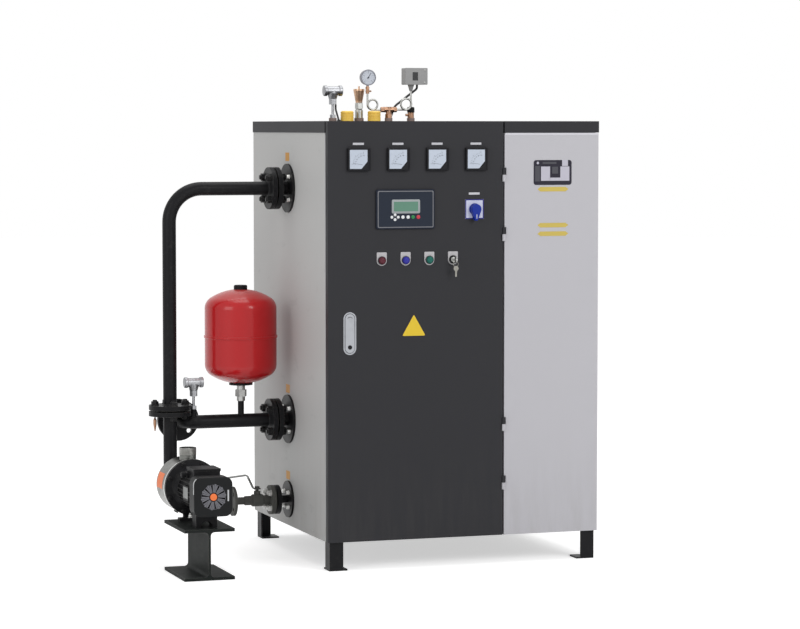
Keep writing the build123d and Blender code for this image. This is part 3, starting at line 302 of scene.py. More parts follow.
# %% Metal finishes
def bare_metal(name, colour, sheen, stretch, tarnish):
    """A metal with a stretched brush pattern and stains of a second tone."""
    finish = Finish(name, colour, sheen, 1.0)
    cloud = finish.noise(25.0, 4.0)
    brushed = finish.noise(500.0, 3.0, 0.6, stretch)
    stain = finish.step(cloud, 0.45, 0.75) * 0.5
    finish.set("Base Color", finish.mix(stain, colour, tarnish))
    finish.set("Roughness", sheen + 0.16 * brushed + 0.12 * stain)
    finish.bump(brushed, 0.0002, 0.25)
    return finish.material


unbrushed, round_x, round_z = (1, 1, 1), (1, 0.06, 0.06), (1, 1, 0.1)
zinc_plate = bare_metal("zinc_plate", paint(176, 176, 174), 0.28, unbrushed, paint(128, 126, 122))
brushed_stainless = bare_metal("brushed_stainless", paint(168, 168, 165), 0.24, round_x,
                               paint(132, 130, 126))
turned_brass = bare_metal("turned_brass", paint(162, 126, 100), 0.26, round_z, paint(112, 84, 62))
silver_lacquer = bare_metal("silver_lacquer", paint(154, 156, 161), 0.38, (1, 1, 0.2),
                            paint(138, 140, 144))
barrel_steel = bare_metal("barrel_steel", paint(112, 113, 110), 0.22, round_x, paint(82, 81, 78))
# A near white metal for the barrel's rim: its tone is a painted highlight.
rim_highlight_metal = bare_metal("rim_highlight_metal", paint(226, 226, 224), 0.16, round_x, paint(196, 194, 190))
cast_silver = bare_metal("cast_silver", paint(160, 161, 164), 0.32, unbrushed, paint(112, 112, 114))
print("metals:", zinc_plate.name, turned_brass.name, cast_silver.name, "and four more")

# %% [markdown]
# ## Moulded plastics
# Instrument cases are injection moulded. The mould is spark eroded, which leaves an even fine grain
# on every face. A photograph of such grain would do too, but a very fine noise is as good at this
# size, so each plastic is one colour with grain in its relief and its sheen.

# %% Plastic finishes
def moulded(name, colour, sheen=0.42, grain=900.0, gloss=0.35, **fixed):
    """Grained plastic, painted card or film, with the clouding of a slightly worn surface."""
    finish = Finish(name, colour, sheen, Specular_IOR_Level=gloss, **fixed)
    grit = finish.noise(grain, 2.0)
    cloud = finish.noise(12.0, 3.0)
    finish.set("Base Color", finish.mix(cloud * 0.3, colour, darker(colour, 0.75)))
    finish.set("Roughness", sheen + 0.12 * grit)
    finish.bump(grit, 0.0002, 0.3)
    return finish.material


instrument_case = moulded("instrument_case", paint(30, 30, 33), gloss=0.12)
navy_case = moulded("navy_case", paint(34, 39, 52), 0.36, gloss=0.12)
knob_blue = moulded("knob_blue", paint(18, 44, 142), 0.30, gloss=0.2)
white_case = moulded("white_case", paint(226, 226, 232), 0.40)
legend_card = moulded("legend_card", paint(182, 180, 183), 0.40)
yellow_cap = moulded("yellow_cap", paint(255, 212, 94), 0.40, 300.0)
grey_case = moulded("grey_case", paint(160, 160, 160), 0.44)
gasket_sheet = moulded("gasket_sheet", paint(80, 74, 68), 0.75, 500.0)
primer_red = moulded("primer", paint(140, 122, 116), 0.6, 400.0)
print("materials so far:", len(bpy.data.materials))

# %% [markdown]
# ## Two finishes on one piece
# Some pieces are one solid, yet show two materials: a brass valve on a plated socket, a black cap
# on a brass vent, a grey grille in a black cowl. The solid could be cut in two. A mask made from the
# place on the piece is lighter, and it picks between two recipes of tone, sheen and metal.

# %% A divided finish
def divided(name, pick, first, second):
    """Two (colour, roughness, metallic) recipes, parted by a mask made from the finish."""
    finish = Finish(name, first[0], first[1], Specular_IOR_Level=0.12)
    mask = pick(finish)
    cloud = finish.noise(25.0, 4.0)
    near = finish.mix(cloud * 0.5, first[0], darker(first[0], 0.7))
    far = finish.mix(cloud * 0.5, second[0], darker(second[0], 0.7))
    finish.set("Base Color", finish.mix(mask, near, far))
    finish.set("Roughness", first[1] + mask * (second[1] - first[1]) + 0.12 * cloud)
    finish.set("Metallic", first[2] + mask * (second[2] - first[2]))
    finish.bump(finish.noise(400.0, 3.0), 0.0002, 0.25)
    return finish.material


def above(height):
    """A mask that is 1 above a height given in millimetres."""
    return lambda finish: finish.z > level(height)


def outside(finish, x, z, radius):
    """1 outside a circle, in millimetres, on a piece that faces along Y."""
    across, up = finish.x - x, finish.z - z
    return (across * across + up * up) > (radius * mm) ** 2


# %% [markdown]
# ## Where the divided pieces change
# Each mask needs one measure: the height where a cap or a socket ends, or the radius of a grille or
# a lock. They are read off the photograph and named here, so that a change is made in one place.

# %% Divided finishes
brass_recipe = (paint(214, 176, 146), 0.26, 1.0)
bronze_recipe = (paint(164, 128, 104), 0.30, 1.0)
plated_recipe = (paint(186, 187, 184), 0.30, 1.0)
chrome_recipe = (paint(112, 113, 120), 0.20, 1.0)
dull_recipe = (paint(78, 78, 75), 0.45, 0.6)
arm_recipe = (paint(126, 127, 125), 0.36, 1.0)
black_recipe = (paint(27, 28, 29), 0.42, 0.0)
grey_recipe = (paint(110, 110, 116), 0.45, 0.0)
socket_top, cap_foot, vent_left, cock_top, stem_top = 1617.0, 1581.5, 440.0, 1677.0, 276.0
grille_radius, hub_radius, plug_radius = 42.0, 15.5, 9.0
cowl_low, cowl_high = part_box("fan_cowl")
cowl_x, cowl_z = (cowl_low.x + cowl_high.x) / 2, (cowl_low.z + cowl_high.z) / 2


def off_grille(finish):
    """1 on the cowl outside its grille, and on the hub in the middle."""
    return outside(finish, cowl_x, cowl_z, grille_radius) + (
        1 - outside(finish, cowl_x, cowl_z, hub_radius))


def on_vent_cap(finish):
    return above(cap_foot)(finish) * (finish.x > cabinet(vent_left, 0, 0).x)


def off_plug(finish):
    return outside(finish, cabinet(key_x, 0, 0).x, level(key_z), plug_radius)


safety_finish = divided("safety_valve", above(socket_top), plated_recipe, brass_recipe)
vent_finish = divided("brass_and_cap", on_vent_cap, bronze_recipe, black_recipe)
cowl_finish = divided("cowl_and_grille", off_grille, grey_recipe, black_recipe)
gauge_finish = divided("gauge_and_cock", above(cock_top), bronze_recipe, chrome_recipe)
lever_finish = divided("drain_lever", above(stem_top), dull_recipe, arm_recipe)
lock_finish = divided("key_lock", off_plug, plated_recipe, black_recipe)
print("divided:", safety_finish.name, vent_finish.name, cowl_finish.name, "and three more")

# %% [markdown]
# ## Conduit
# The lead to the pressure switch runs in a corrugated conduit a few millimetres thick. Its rings
# could be turned one by one, but there are dozens, so a wave pattern along Z draws them as relief.
# The same pattern paints lighter bands on the crests: a painted highlight on each ring.

# %% Ribbed jacket
rings_scale = 52.0


def ribbed_jacket():
    """A corrugated conduit, with its rings at three to the centimetre."""
    finish = Finish("ribbed_jacket", paint(38, 38, 40), 0.45)
    rings = finish.node("ShaderNodeTexWave", {"bands_direction": "Z"},
                        {"Vector": finish.place, "Scale": rings_scale})
    cloud = finish.noise(40.0)
    # Lighter bands on the rings are painted highlights on their crests; the cloud is random tone.
    finish.set("Base Color", finish.mix(rings * 0.4 + 0.2 * cloud, paint(30, 30, 32), paint(74, 74, 76)))
    finish.set("Roughness", 0.40 + 0.15 * cloud)
    finish.bump(rings, 0.0008, 0.6)
    return finish.material


conduit_jacket = ribbed_jacket()
print("conduit:", conduit_jacket.name)

# %% [markdown]
# ## Dressing the model's own pieces
# Each node keeps its shape and gets a finish in its material slot. They could be dressed one by one,
# but the record names a slot for every node, so one table from slot to finish dresses all of them,
# and a second table names the few that need a finish of their own.

# %% Dress the nodes
finish_of_slot = {
    "charcoal_paint": charcoal_coat, "pale_paint": pale_coat, "black_paint": pipe_enamel,
    "pump_black": pump_enamel, "primed_steel": primer_red, "red_enamel": vessel_enamel,
    "zinc_steel": zinc_plate, "stainless": brushed_stainless, "brass": turned_brass,
    "instrument_plastic": instrument_case, "navy_plastic": navy_case,
    "silver_lock": silver_lacquer, "lamp_plastic": instrument_case, "white_plastic": white_case,
    "yellow_plastic": yellow_cap, "grey_plastic": grey_case, "gasket_fibre": gasket_sheet,
    "flex_conduit": conduit_jacket,
}
for part in frame["record"]["subparts"]:
    for holder in frame["nodes"][part["node"]].material_slots:
        holder.material = finish_of_slot[part["material_slot"]]

own_finish = {"safety_valve": safety_finish, "brass_fittings": vent_finish, "fan_cowl": cowl_finish,
              "pressure_gauge": gauge_finish, "valve_lever": lever_finish, "key_switch": lock_finish,
              "pump_stand": stand_enamel, "drain_valve": iron_enamel, "left_wall": wall_coat,
              "pump_barrel": barrel_steel, "temperature_sensors": cast_silver,
              "selector_knob": knob_blue, "legend_plates": legend_card, "frame_hinges": pale_coat}
for node, finish in own_finish.items():
    frame["nodes"][node].material_slots[0].material = finish

# %% [markdown]
# ## Small shapes
# Fasteners, plates and dials are either turned, cut from bar or cut from sheet. Each could be
# modelled by itself, but three short helpers cover them: each starts a bmesh with an operator or a
# few vertices and shapes it with spin, extrude and bevel.

# %% Turned shapes
def turned(outline, steps=32):
    """A turned shape round Z from (radius, height) points that start and end on the axis."""
    shape = bmesh.new()
    points = [shape.verts.new((radius * mm, 0, height * mm)) for radius, height in outline]
    edges = [shape.edges.new(pair) for pair in zip(points, points[1:])]
    bmesh.ops.spin(shape, geom=points + edges, cent=(0, 0, 0), axis=(0, 0, 1), angle=2 * pi,
                   steps=steps, use_merge=True)
    bmesh.ops.remove_doubles(shape, verts=shape.verts, dist=1e-7)
    bmesh.ops.recalc_face_normals(shape, faces=shape.faces)
    return shape


def to_front(shape):
    """Turns a shape that was made facing up so that it faces the front, along -Y."""
    bmesh.ops.rotate(shape, cent=(0, 0, 0), matrix=Matrix.Rotation(pi / 2, 3, "X"), verts=shape.verts)
    return shape


# %% Bars and plates
def soften(shape, axis, face, edge):
    """Bevels the edges that lie in the plane where a coordinate has the value face."""
    rim = [line for line in shape.edges
           if all(abs(point.co[axis] - face) < 1e-6 for point in line.verts)]
    bmesh.ops.bevel(shape, geom=rim, offset=edge * mm, segments=2, profile=0.5,
                    affect="EDGES", material=-1)


def bar(sides, radius, low, high, edge=0.0):
    """A straight bar along Z with that many sides, its top edge bevelled."""
    shape = bmesh.new()
    bmesh.ops.create_cone(shape, cap_ends=True, segments=sides, radius1=radius * mm,
                          radius2=radius * mm, depth=(high - low) * mm)
    bmesh.ops.translate(shape, verts=shape.verts, vec=(0, 0, (high + low) / 2 * mm))
    if edge:
        soften(shape, 2, high * mm, edge)
    return shape


def slab(outline, thick, edge=0.0):
    """A flat piece from an (x, z) outline: its back at Y 0, its face at -thick."""
    shape = bmesh.new()
    ring = [shape.verts.new((x * mm, 0, z * mm)) for x, z in outline]
    shape.faces.new(ring)
    made = bmesh.ops.extrude_face_region(shape, geom=shape.faces[:])
    front = [item for item in made["geom"] if isinstance(item, bmesh.types.BMVert)]
    bmesh.ops.translate(shape, verts=front, vec=(0, -thick * mm, 0))
    bmesh.ops.recalc_face_normals(shape, faces=shape.faces)
    if edge:
        soften(shape, 1, -thick * mm, edge)
    return shape


# %% Outlines
def arc(x, z, radius, start, end, steps=6):
    """Points along an arc, with its angles in degrees."""
    return [(x + radius * cos(radians(start + (end - start) * number / steps)),
             z + radius * sin(radians(start + (end - start) * number / steps)))
            for number in range(steps + 1)]


def rounded(width, height, corner):
    """The outline of a plate with rounded corners."""
    right, top = width / 2 - corner, height / 2 - corner
    corners = [(right, top), (-right, top), (-right, -top), (right, -top)]
    return [point for number, (x, z) in enumerate(corners)
            for point in arc(x, z, corner, 90 * number, 90 * number + 90)]


# %% [markdown]
# ## One piece from repeated shapes
# A real fitter repeats one bolt many times. A separate object for each would make a long list, and
# each would have to be told what it moves with. So a helper repeats the shapes at their places,
# joins them in one mesh and lets that mesh ride on its body.

# %% Places for shapes
def facing(axis):
    """The turn that points a shape's Z along an axis such as "-X"."""
    way = {"X": (1, 0, 0), "Y": (0, 1, 0), "Z": (0, 0, 1)}[axis[-1]]
    aim = Vector(way) * (-1 if axis[0] == "-" else 1)
    return Vector((0, 0, 1)).rotation_difference(aim).to_matrix().to_4x4()


def ring_of(centre, axis, radius, count, first=0.0):
    """Places round a circle, for bolts and knobs."""
    middle = Matrix.Translation(centre) @ facing(axis)
    return [middle @ Matrix.Rotation(first + turn * 2 * pi / count, 4, "Z")
            @ Matrix.Translation((radius * mm, 0, 0)) for turn in range(count)]


def spots(*places):
    """Places on the cabinet, in millimetres, as a list for build."""
    return [Matrix.Translation(cabinet(*place)) for place in places]


def at(x, y, z):
    """One such place."""
    return spots((x, y, z))


# %% One mesh that rides on a body
crease = radians(32.0)


def build(name, body, slot, material, *shapes):
    """Joins (shape, places) pairs in one mesh that rides on a body of the model."""
    total = bmesh.new()
    for shape, places in shapes:
        mesh = bpy.data.meshes.new(name)
        shape.to_mesh(mesh)
        shape.free()
        for place in places:
            first = len(total.verts)
            total.from_mesh(mesh)
            total.verts.ensure_lookup_table()
            bmesh.ops.transform(total, matrix=place, verts=total.verts[first:])
        bpy.data.meshes.remove(mesh)
    mesh = bpy.data.meshes.new(name)
    total.to_mesh(mesh)
    total.free()
    mesh.shade_smooth()
    mesh.set_sharp_from_angle(angle=crease)
    mesh.materials.append(material)
    piece = bpy.data.objects.new(name, mesh)
    bpy.context.scene.collection.objects.link(piece)
    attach(piece, body)
    print(name, len(mesh.polygons), "faces")


# %% [markdown]
# ## Flange bolts
# Each flange pair is held by bolts with a washer and a nut, and a little of the thread stands out.
# A nut could be one hexagon, but the washer and the stud's end are what catches the light, so all
# three are made. Most are painted over with the pipes. The drain valve's are zinc plated.

# %% A nut on its stud
washer, seat, sunk = 2.5, 2.4, 2.0
large_bolt = dict(flats=24.0, head=12.0, stud=5.0)
small_bolt = dict(flats=19.0, head=10.0, stud=4.0)
headless_stud = 0.5


def nut(flats, head, stud):
    """A nut on its washer with the end of the stud, standing on Z 0."""
    corner = flats / 2 / cos(pi / 6)
    return [bar(24, corner * 1.08, 0.0, washer, 0.4), bar(6, corner, seat, seat + head, 1.2),
            bar(16, flats / 3, sunk, seat + head + stud, 0.8)]


def bolts(name, bolt, ends, material, slot="black_paint"):
    """Nuts and heads at every place of a list of (places, whether a stud shows)."""
    shapes = []
    for places, studded in ends:
        size = dict(bolt, stud=bolt["stud"] if studded else headless_stud)
        shapes += [(shape, places) for shape in nut(**size)]
    build(name, "boiler", slot, material, *shapes)


# %% Bolts in the flanges
port_y, riser_x, riser_face = 470.0, -438.0, 529.0
outlet_z, return_z, drain_z = 1312.0, 485.0, 196.0
neck, flange_thick, raised, gasket = 38.0, 16.0, 2.0, 2.0
flange_gap = raised + gasket + raised
pair, drain_pair = 2 * flange_thick + flange_gap, 36.0
large_circle, small_circle, quarter = 55.0, 37.5, pi / 4


def port_ring(x, height, axis, circle=large_circle):
    """Four places round a port, with none at the top."""
    return ring_of(cabinet(x, port_y, height), axis, circle, 4, quarter)


large_ends = []
for height in (outlet_z, return_z):
    large_ends.append((port_ring(-neck - pair, height, "-X"), True))
    large_ends.append((port_ring(-neck, height, "X"), False))
bolts("wall_flange_bolts", large_bolt, large_ends, pipe_enamel)

above_riser = cabinet(riser_x, port_y, riser_face + gasket + raised + flange_thick)
below_riser = cabinet(riser_x, port_y, riser_face - raised - flange_thick)
riser_heads = ring_of(below_riser, "-Z", large_circle, 4)
riser_heads.remove(min(riser_heads, key=lambda place: place.translation.x))
bolts("riser_flange_bolts", large_bolt,
      [(ring_of(above_riser, "Z", large_circle, 4), True), (riser_heads, False)], pipe_enamel)
bolts("drain_flange_bolts", small_bolt,
      [(port_ring(-neck - drain_pair, drain_z, "-X", small_circle), True)], zinc_plate, "zinc_steel")

# %% Shanks in the gap between two flanges
shank_radius, gap_x = 7.5, -neck - flange_thick - flange_gap
shanks = [(bar(16, shank_radius, 0.0, flange_gap), port_ring(gap_x, height, "X"))
          for height in (outlet_z, return_z)]
build("flange_bolt_shanks", "boiler", "black_paint", pipe_enamel, *shanks)

# %% [markdown]
# ## Bolts in the wall discs
# A disc covers the hole round each pipe, held by four small bolts that were left bright. They are
# the same nuts in a smaller size, so only the size, the circle and the finish change.

# %% Bright bolts
disc_face = -8.0
disc_circles = ((outlet_z, 58.0), (return_z, 58.0), (drain_z, 37.0))
disc_bolts = [(port_ring(disc_face, height, "-X", circle), False) for height, circle in disc_circles]
bright_zinc = bare_metal("bright_zinc", paint(224, 224, 222), 0.3, unbrushed, paint(196, 194, 188))
bolts("disc_bolts", dict(flats=13.0, head=7.5, stud=1.0), disc_bolts, bright_zinc, "zinc_steel")

# %% [markdown]
# ## Panel meters
# A square moving iron meter has its pivot in one corner, under a black cover, and a quarter round
# scale over the rest of the face. The face could be painted by a pattern, but thin raised marks are
# crisper from near by. Its window is a clear coat on the card. The numbers are plain ones.

# %% Meter faces
meter_face, meter_front, meter_z = 65.0, -12.5, 1419.0
cover_width, cover_height, card_thick = 21.5, 25.0, 0.8
meter_places = [110.5 + 143.0 * number for number in range(4)]
face_places = [x - 4.0 for x in meter_places]
meter_card = moulded("meter_card", paint(188, 197, 211), 0.35, 600.0, Coat_Weight=0.3)
dial_ink = moulded("dial_ink", paint(60, 64, 74), 0.5)
half = meter_face / 2
card = [(-half, half), (-half, -half), (half - cover_width, -half), (half, cover_height - half),
        (half, half)]
build("meter_faces", "door", "white_plastic", meter_card,
      (slab(card, card_thick), spots(*[(x, meter_front, meter_z) for x in face_places])))


# %% Meter marks
def tick(angle, near, far, width):
    """A thin mark that points away from the pivot of a dial."""
    shape = slab([(near, -width / 2), (far, -width / 2), (far, width / 2), (near, width / 2)], 0.3)
    bmesh.ops.rotate(shape, cent=(0, 0, 0), matrix=Matrix.Rotation(radians(-angle), 3, "Y"),
                     verts=shape.verts)
    return shape


pivot = (20.5, -19.0)
scale_first, scale_last, scale_steps = 176.0, 94.0, 10
meter_marks = []
for number in range(scale_steps + 1):
    angle = scale_first + (scale_last - scale_first) * number / scale_steps
    major = number % 5 == 0
    meter_marks.append(tick(angle, 38.0, 45.0 if major else 42.0, 0.8 if major else 0.5))
needle = tick(172.0, 6.0, 40.0, 0.9)
card_front = meter_front - card_thick
pivots = spots(*[(x + pivot[0], card_front, meter_z + pivot[1]) for x in face_places])
build("meter_marks", "door", "instrument_plastic", dial_ink,
      *[(shape, pivots) for shape in meter_marks + [needle]])

# %% [markdown]
# ## Numbers on a dial
# Plain numbers make a dial read as one. They could be drawn stroke by stroke, but Blender's own font
# does it: each number is a text object, made a mesh before its place is applied.

# %% Meter numbers
def numbers(name, body, words, size, offsets, dials):
    """Plain numbers, set flat on each dial at offsets from its centre."""
    shapes = []
    for word, offset in zip(words, offsets):
        text = bpy.data.curves.new(name, "FONT")
        text.body, text.size, text.extrude = word, size * mm, 0.1 * mm
        text.align_x, text.align_y, text.resolution_u = "CENTER", "CENTER", 3
        holder = bpy.data.objects.new(name, text)
        mesh = bpy.data.meshes.new_from_object(holder)
        shape = bmesh.new()
        shape.from_mesh(mesh)
        bmesh.ops.translate(to_front(shape), verts=shape.verts, vec=offset * mm)
        bpy.data.objects.remove(holder)
        bpy.data.meshes.remove(mesh)
        bpy.data.curves.remove(text)
        shapes.append((shape, spots(*dials)))
    build(name, body, "instrument_plastic", dial_ink, *shapes)


number_circle = 32.0
meter_words = ["0", "20", "40", "60", "80", "100"]
meter_offsets = []
for number in range(6):
    angle = radians(scale_first + (scale_last - scale_first) * number / 5)
    meter_offsets.append(Vector((pivot[0] + number_circle * cos(angle), -0.1,
                                 pivot[1] + number_circle * sin(angle))))
numbers("meter_numbers", "door", meter_words, 5.0, meter_offsets,
        [(x, card_front, meter_z) for x in face_places])

# %% [markdown]
# ## Controller
# The controller's front is one printed film over the keys and the window. It could be one plate with
# a painted pattern. Thin layers are truer: a grey plate under a navy one leaves the grey line round
# the edge, and the green liquid crystal window, with nothing on it, lies in its raised frame.

# %% Film and window
controller_x, controller_z, controller_front = 279.0, 1247.0, -9.0
film = moulded("controller_film", paint(38, 44, 56), 0.30, 1200.0, 0.12)
film_line = moulded("film_line", paint(112, 113, 118), 0.35)
window_frame = moulded("window_frame", paint(150, 156, 158), 0.35)
window_green = moulded("window_green", paint(90, 134, 114), 0.12, 1500.0, Coat_Weight=0.3)
window_x, window_z, film_face = 0.5, 9.5, 0.4


def on_controller(x, z, lift):
    """A place on the film, from the middle of the controller."""
    return at(controller_x + x, controller_front - lift, controller_z + z)


build("controller_border", "door", "grey_plastic", film_line,
      (slab(rounded(203.0, 127.0, 5.0), 0.25), on_controller(0.0, 0.0, 0.0)))
build("controller_film", "door", "navy_plastic", film,
      (slab(rounded(196.5, 120.5, 4.0), 0.45), on_controller(0.0, 0.0, 0.0)))
build("display_frame", "door", "grey_plastic", window_frame,
      (slab(rounded(103.0, 48.0, 5.0), 1.2, 0.6), on_controller(window_x, window_z, film_face)))
build("display_window", "door", "grey_plastic", window_green,
      (slab(rounded(88.0, 33.0, 1.5), 0.4), on_controller(window_x, window_z, 1.55)))

# %% [markdown]
# ## Membrane keys
# The keys stand up about a millimetre where the film is embossed. A sphere cut flat would bulge too
# much, so each key is a turned shape with a short wall, a bevel and a slightly raised middle.

# %% Keys under the window
key_white = moulded("key_white", paint(226, 228, 230), 0.4)
key_green = moulded("key_green", paint(30, 122, 66), 0.4)
key_red = moulded("key_red", paint(190, 50, 66), 0.4)
key_level, pad_x, pad_reach, pad_rise = -27.0, -39.0, 11.5, 8.3
menu_x, start_x, stop_x = (-10.3, 8.5), 26.5, 46.0


def key_dome(radius):
    """A key embossed in the film, round and slightly domed."""
    return to_front(turned([(0, 0), (radius, 0), (radius, 0.5), (radius * 0.86, 1.0), (0, 1.3)], 24))


def key_places(*centres):
    return [on_controller(x, z, film_face)[0] for x, z in centres]


pad = key_places((pad_x - pad_reach, key_level), (pad_x + pad_reach, key_level),
                 (pad_x, key_level - pad_rise), (pad_x, key_level + pad_rise))
menu = key_places(*[(x, key_level) for x in menu_x])
build("white_keys", "door", "white_plastic", key_white, (key_dome(5.0), pad), (key_dome(6.0), menu))
build("start_key", "door", "grey_plastic", key_green, (key_dome(6.4), key_places((start_x, key_level))))
build("stop_key", "door", "grey_plastic", key_red, (key_dome(6.8), key_places((stop_x, key_level))))

# %% [markdown]
# ## Labels and selector
# Small label plates sit over the meters and the selector, and are blank. The selector's square card
# has a blue border, made like the controller's film by a pale plate on a slightly larger blue one.
# The knob's white line turns with it, so it rides on the selector.

# %% Label plates, selector border and pointer
selector_x, selector_z, selector_front = 533.5, 1245.0, -3.0
meter_label_z, selector_label_z = 1472.0, 1299.0
knob_front, pointer_drop = -27.5, 25.0
label_card = moulded("label_card", paint(196, 196, 202), 0.4)
selector_blue = moulded("selector_blue", paint(46, 46, 122), 0.4, gloss=0.2)
selector_pale = moulded("selector_pale", paint(198, 201, 222), 0.4)
label_places = spots(*[(x, 0.0, meter_label_z) for x in meter_places])
label_places += at(selector_x, 0.0, selector_label_z)
build("blank_label_plates", "door", "white_plastic", label_card,
      (slab(rounded(40.0, 7.5, 1.0), 0.6), label_places))
on_selector = at(selector_x, selector_front, selector_z)
build("selector_border", "door", "navy_plastic", selector_blue,
      (slab(rounded(68.0, 68.0, 2.0), 0.25), on_selector))
build("selector_card", "door", "white_plastic", selector_pale,
      (slab(rounded(61.0, 61.0, 1.5), 0.4), on_selector))
build("selector_pointer", "selector", "white_plastic", white_case,
      (slab(rounded(2.0, 15.0, 0.8), 0.4), at(selector_x, knob_front, selector_z - pointer_drop)))

# %% [markdown]
# ## Handle trim
# The flush handle is a pressed lever in a dish, with a crescent for the thumb near its top and a
# lock near its foot. Both are black and move with the lever. The lock is turned with a ring and a
# sunk middle, and the crescent is a plate between two arcs.

# %% Lock and thumb mark
handle_x, handle_front, lock_z, thumb_z = 79.0, -3.0, 774.0, 872.0
lock_plug = turned([(0, 0), (7.5, 0), (7.5, 0.8), (6.5, 1.3), (6.0, 1.3), (5.6, 0.5), (0, 0.5)], 32)
build("handle_lock", "door_handle", "instrument_plastic", instrument_case,
      (to_front(lock_plug), at(handle_x, handle_front, lock_z)))
thumb = arc(0.0, -4.0, 11.0, 35, 145, 12) + arc(0.0, -4.0, 9.4, 145, 35, 12)
build("handle_thumb_mark", "door_handle", "instrument_plastic", instrument_case,
      (slab(thumb, 0.4), at(handle_x, handle_front, thumb_z)))

# %% [markdown]
# ## Key ring and spare key
# The key stands in its switch with a wire ring through its bow, and a spare key hangs on the ring.
# A torus primitive would do for the ring, but a small circle spun round the axis shows how such
# shapes are made. The spare is one outline: a round bow, a stem and a toothed edge.

# %% Ring and spare
key_steel = bare_metal("key_steel", paint(140, 138, 132), 0.3, unbrushed, paint(96, 94, 88))
ring_radius, wire_radius = 9.0, 0.9
key_ring = bmesh.new()
wire_end = Matrix.Translation((ring_radius * mm, 0, 0)) @ Matrix.Rotation(pi / 2, 4, "X")
bmesh.ops.create_circle(key_ring, segments=10, radius=wire_radius * mm, matrix=wire_end)
bmesh.ops.spin(key_ring, geom=key_ring.verts[:] + key_ring.edges[:], cent=(0, 0, 0), axis=(0, 0, 1),
               angle=2 * pi, steps=40, use_merge=True)
bmesh.ops.remove_doubles(key_ring, verts=key_ring.verts, dist=1e-7)
bmesh.ops.recalc_face_normals(key_ring, faces=key_ring.faces)
bow = arc(0.0, 0.0, 9.0, -60, 240, 20)
teeth = [(-3.2, -11.0), (-3.2, -27.0), (-1.0, -30.0), (3.2, -26.5), (2.2, -24.0), (3.2, -21.5),
         (2.2, -19.0), (3.2, -16.5), (3.2, -11.0)]
build("key_ring", "key", "zinc_steel", key_steel, (to_front(key_ring), at(key_x, -30.0, key_z - 15.0)))
build("spare_key", "key", "zinc_steel", key_steel,
      (slab(bow + teeth, 1.8), at(key_x + 1.0, -29.2, key_z - 30.0)))

# %% [markdown]
# ## Pilot lamps
# The three lamps are one solid in the model. They could be split into rings and lenses, but a lens
# is known by where it is: a mask on X picks its colour, and one on Y keeps the dark ring behind it.
# A fine noise gives the lenses their facets and paints faint pale specks on them: painted glints.

# %% Lamp finish
lens_back = -7.4


def lamp_finish():
    finish = Finish("pilot_lamp", paint(96, 26, 38), 0.2, Coat_Weight=0.05, Coat_Roughness=0.08,
                    Specular_IOR_Level=0.12)
    left = cabinet(lamp_first + lamp_pitch / 2, 0, 0).x
    right = cabinet(lamp_first + 1.5 * lamp_pitch, 0, 0).x
    facet_relief_and_glints = finish.noise(900.0, 1.0)
    colour = finish.mix(finish.x > left, paint(86, 24, 38), paint(40, 42, 152))
    colour = finish.mix(finish.x > right, colour, paint(0, 96, 84))
    # Faint pale specks where the facet noise is high: painted glints.
    colour = finish.mix(facet_relief_and_glints * 0.05, colour, paint(210, 210, 216))
    bezel = finish.y > cabinet(0, lens_back, 0).y
    finish.set("Base Color", finish.mix(bezel, colour, paint(42, 40, 44)))
    finish.set("Metallic", bezel * 0.4)
    finish.set("Roughness", 0.10 + 0.2 * bezel + 0.05 * facet_relief_and_glints)
    finish.bump(facet_relief_and_glints, 0.0004, 0.4)
    return finish.material


frame["nodes"]["pilot_lamps"].material_slots[0].material = lamp_finish()
print("lamps:", frame["nodes"]["pilot_lamps"].material_slots[0].material.name)

# %% [markdown]
# ## Plates on the sheets
# The door carries a yellow triangular plate, the right sheet a black rating plate with pale fields
# and three yellow strips, and the left wall an orange sticker over each port. All are blank. They
# could be painted on by masks, but each has a thickness that shows as a fine bright edge, so they
# are thin plates that step up by a tenth of a millimetre or so.

# %% Door triangle
plate_yellow = moulded("plate_yellow", paint(222, 190, 46), 0.34, 500.0)
plate_black = moulded("plate_black", paint(46, 44, 54), 0.34, 500.0, 0.12)
triangle_x, triangle_z = 311.6, 833.3


def triangle(side, corner):
    """An upright triangle with rounded corners, centred on its middle."""
    outline, reach = [], side / 3 ** 0.5 - 2 * corner
    for turn in (90, 210, 330):
        x, z = reach * cos(radians(turn)), reach * sin(radians(turn))
        outline += arc(x, z, corner, turn - 60, turn + 60)
    return outline


on_triangle = at(triangle_x, 0.0, triangle_z)
build("triangle_rim", "door", "instrument_plastic", plate_black,
      (slab(triangle(95.0, 4.0), 0.6), on_triangle))
build("triangle_plate", "door", "yellow_plastic", plate_yellow,
      (slab(triangle(85.0, 3.0), 0.85), on_triangle))

# %% Rating plate
plate_pale = moulded("plate_pale", paint(186, 184, 196), 0.38, 500.0)
plate_grey = moulded("plate_grey", paint(80, 80, 86), 0.36, 500.0, 0.12)
rating_x, rating_z = 826.5, 1370.5


def on_rating(x, z):
    return at(rating_x + x, 0.0, rating_z + z)


def fields(name, slot, material, thick, places):
    """Blank fields of the rating plate, each (x, z, width, height) from its middle."""
    build(name, "boiler", slot, material,
          *[(slab(rounded(width, height, 0.8), thick), on_rating(x, z)) for x, z, width, height in places])


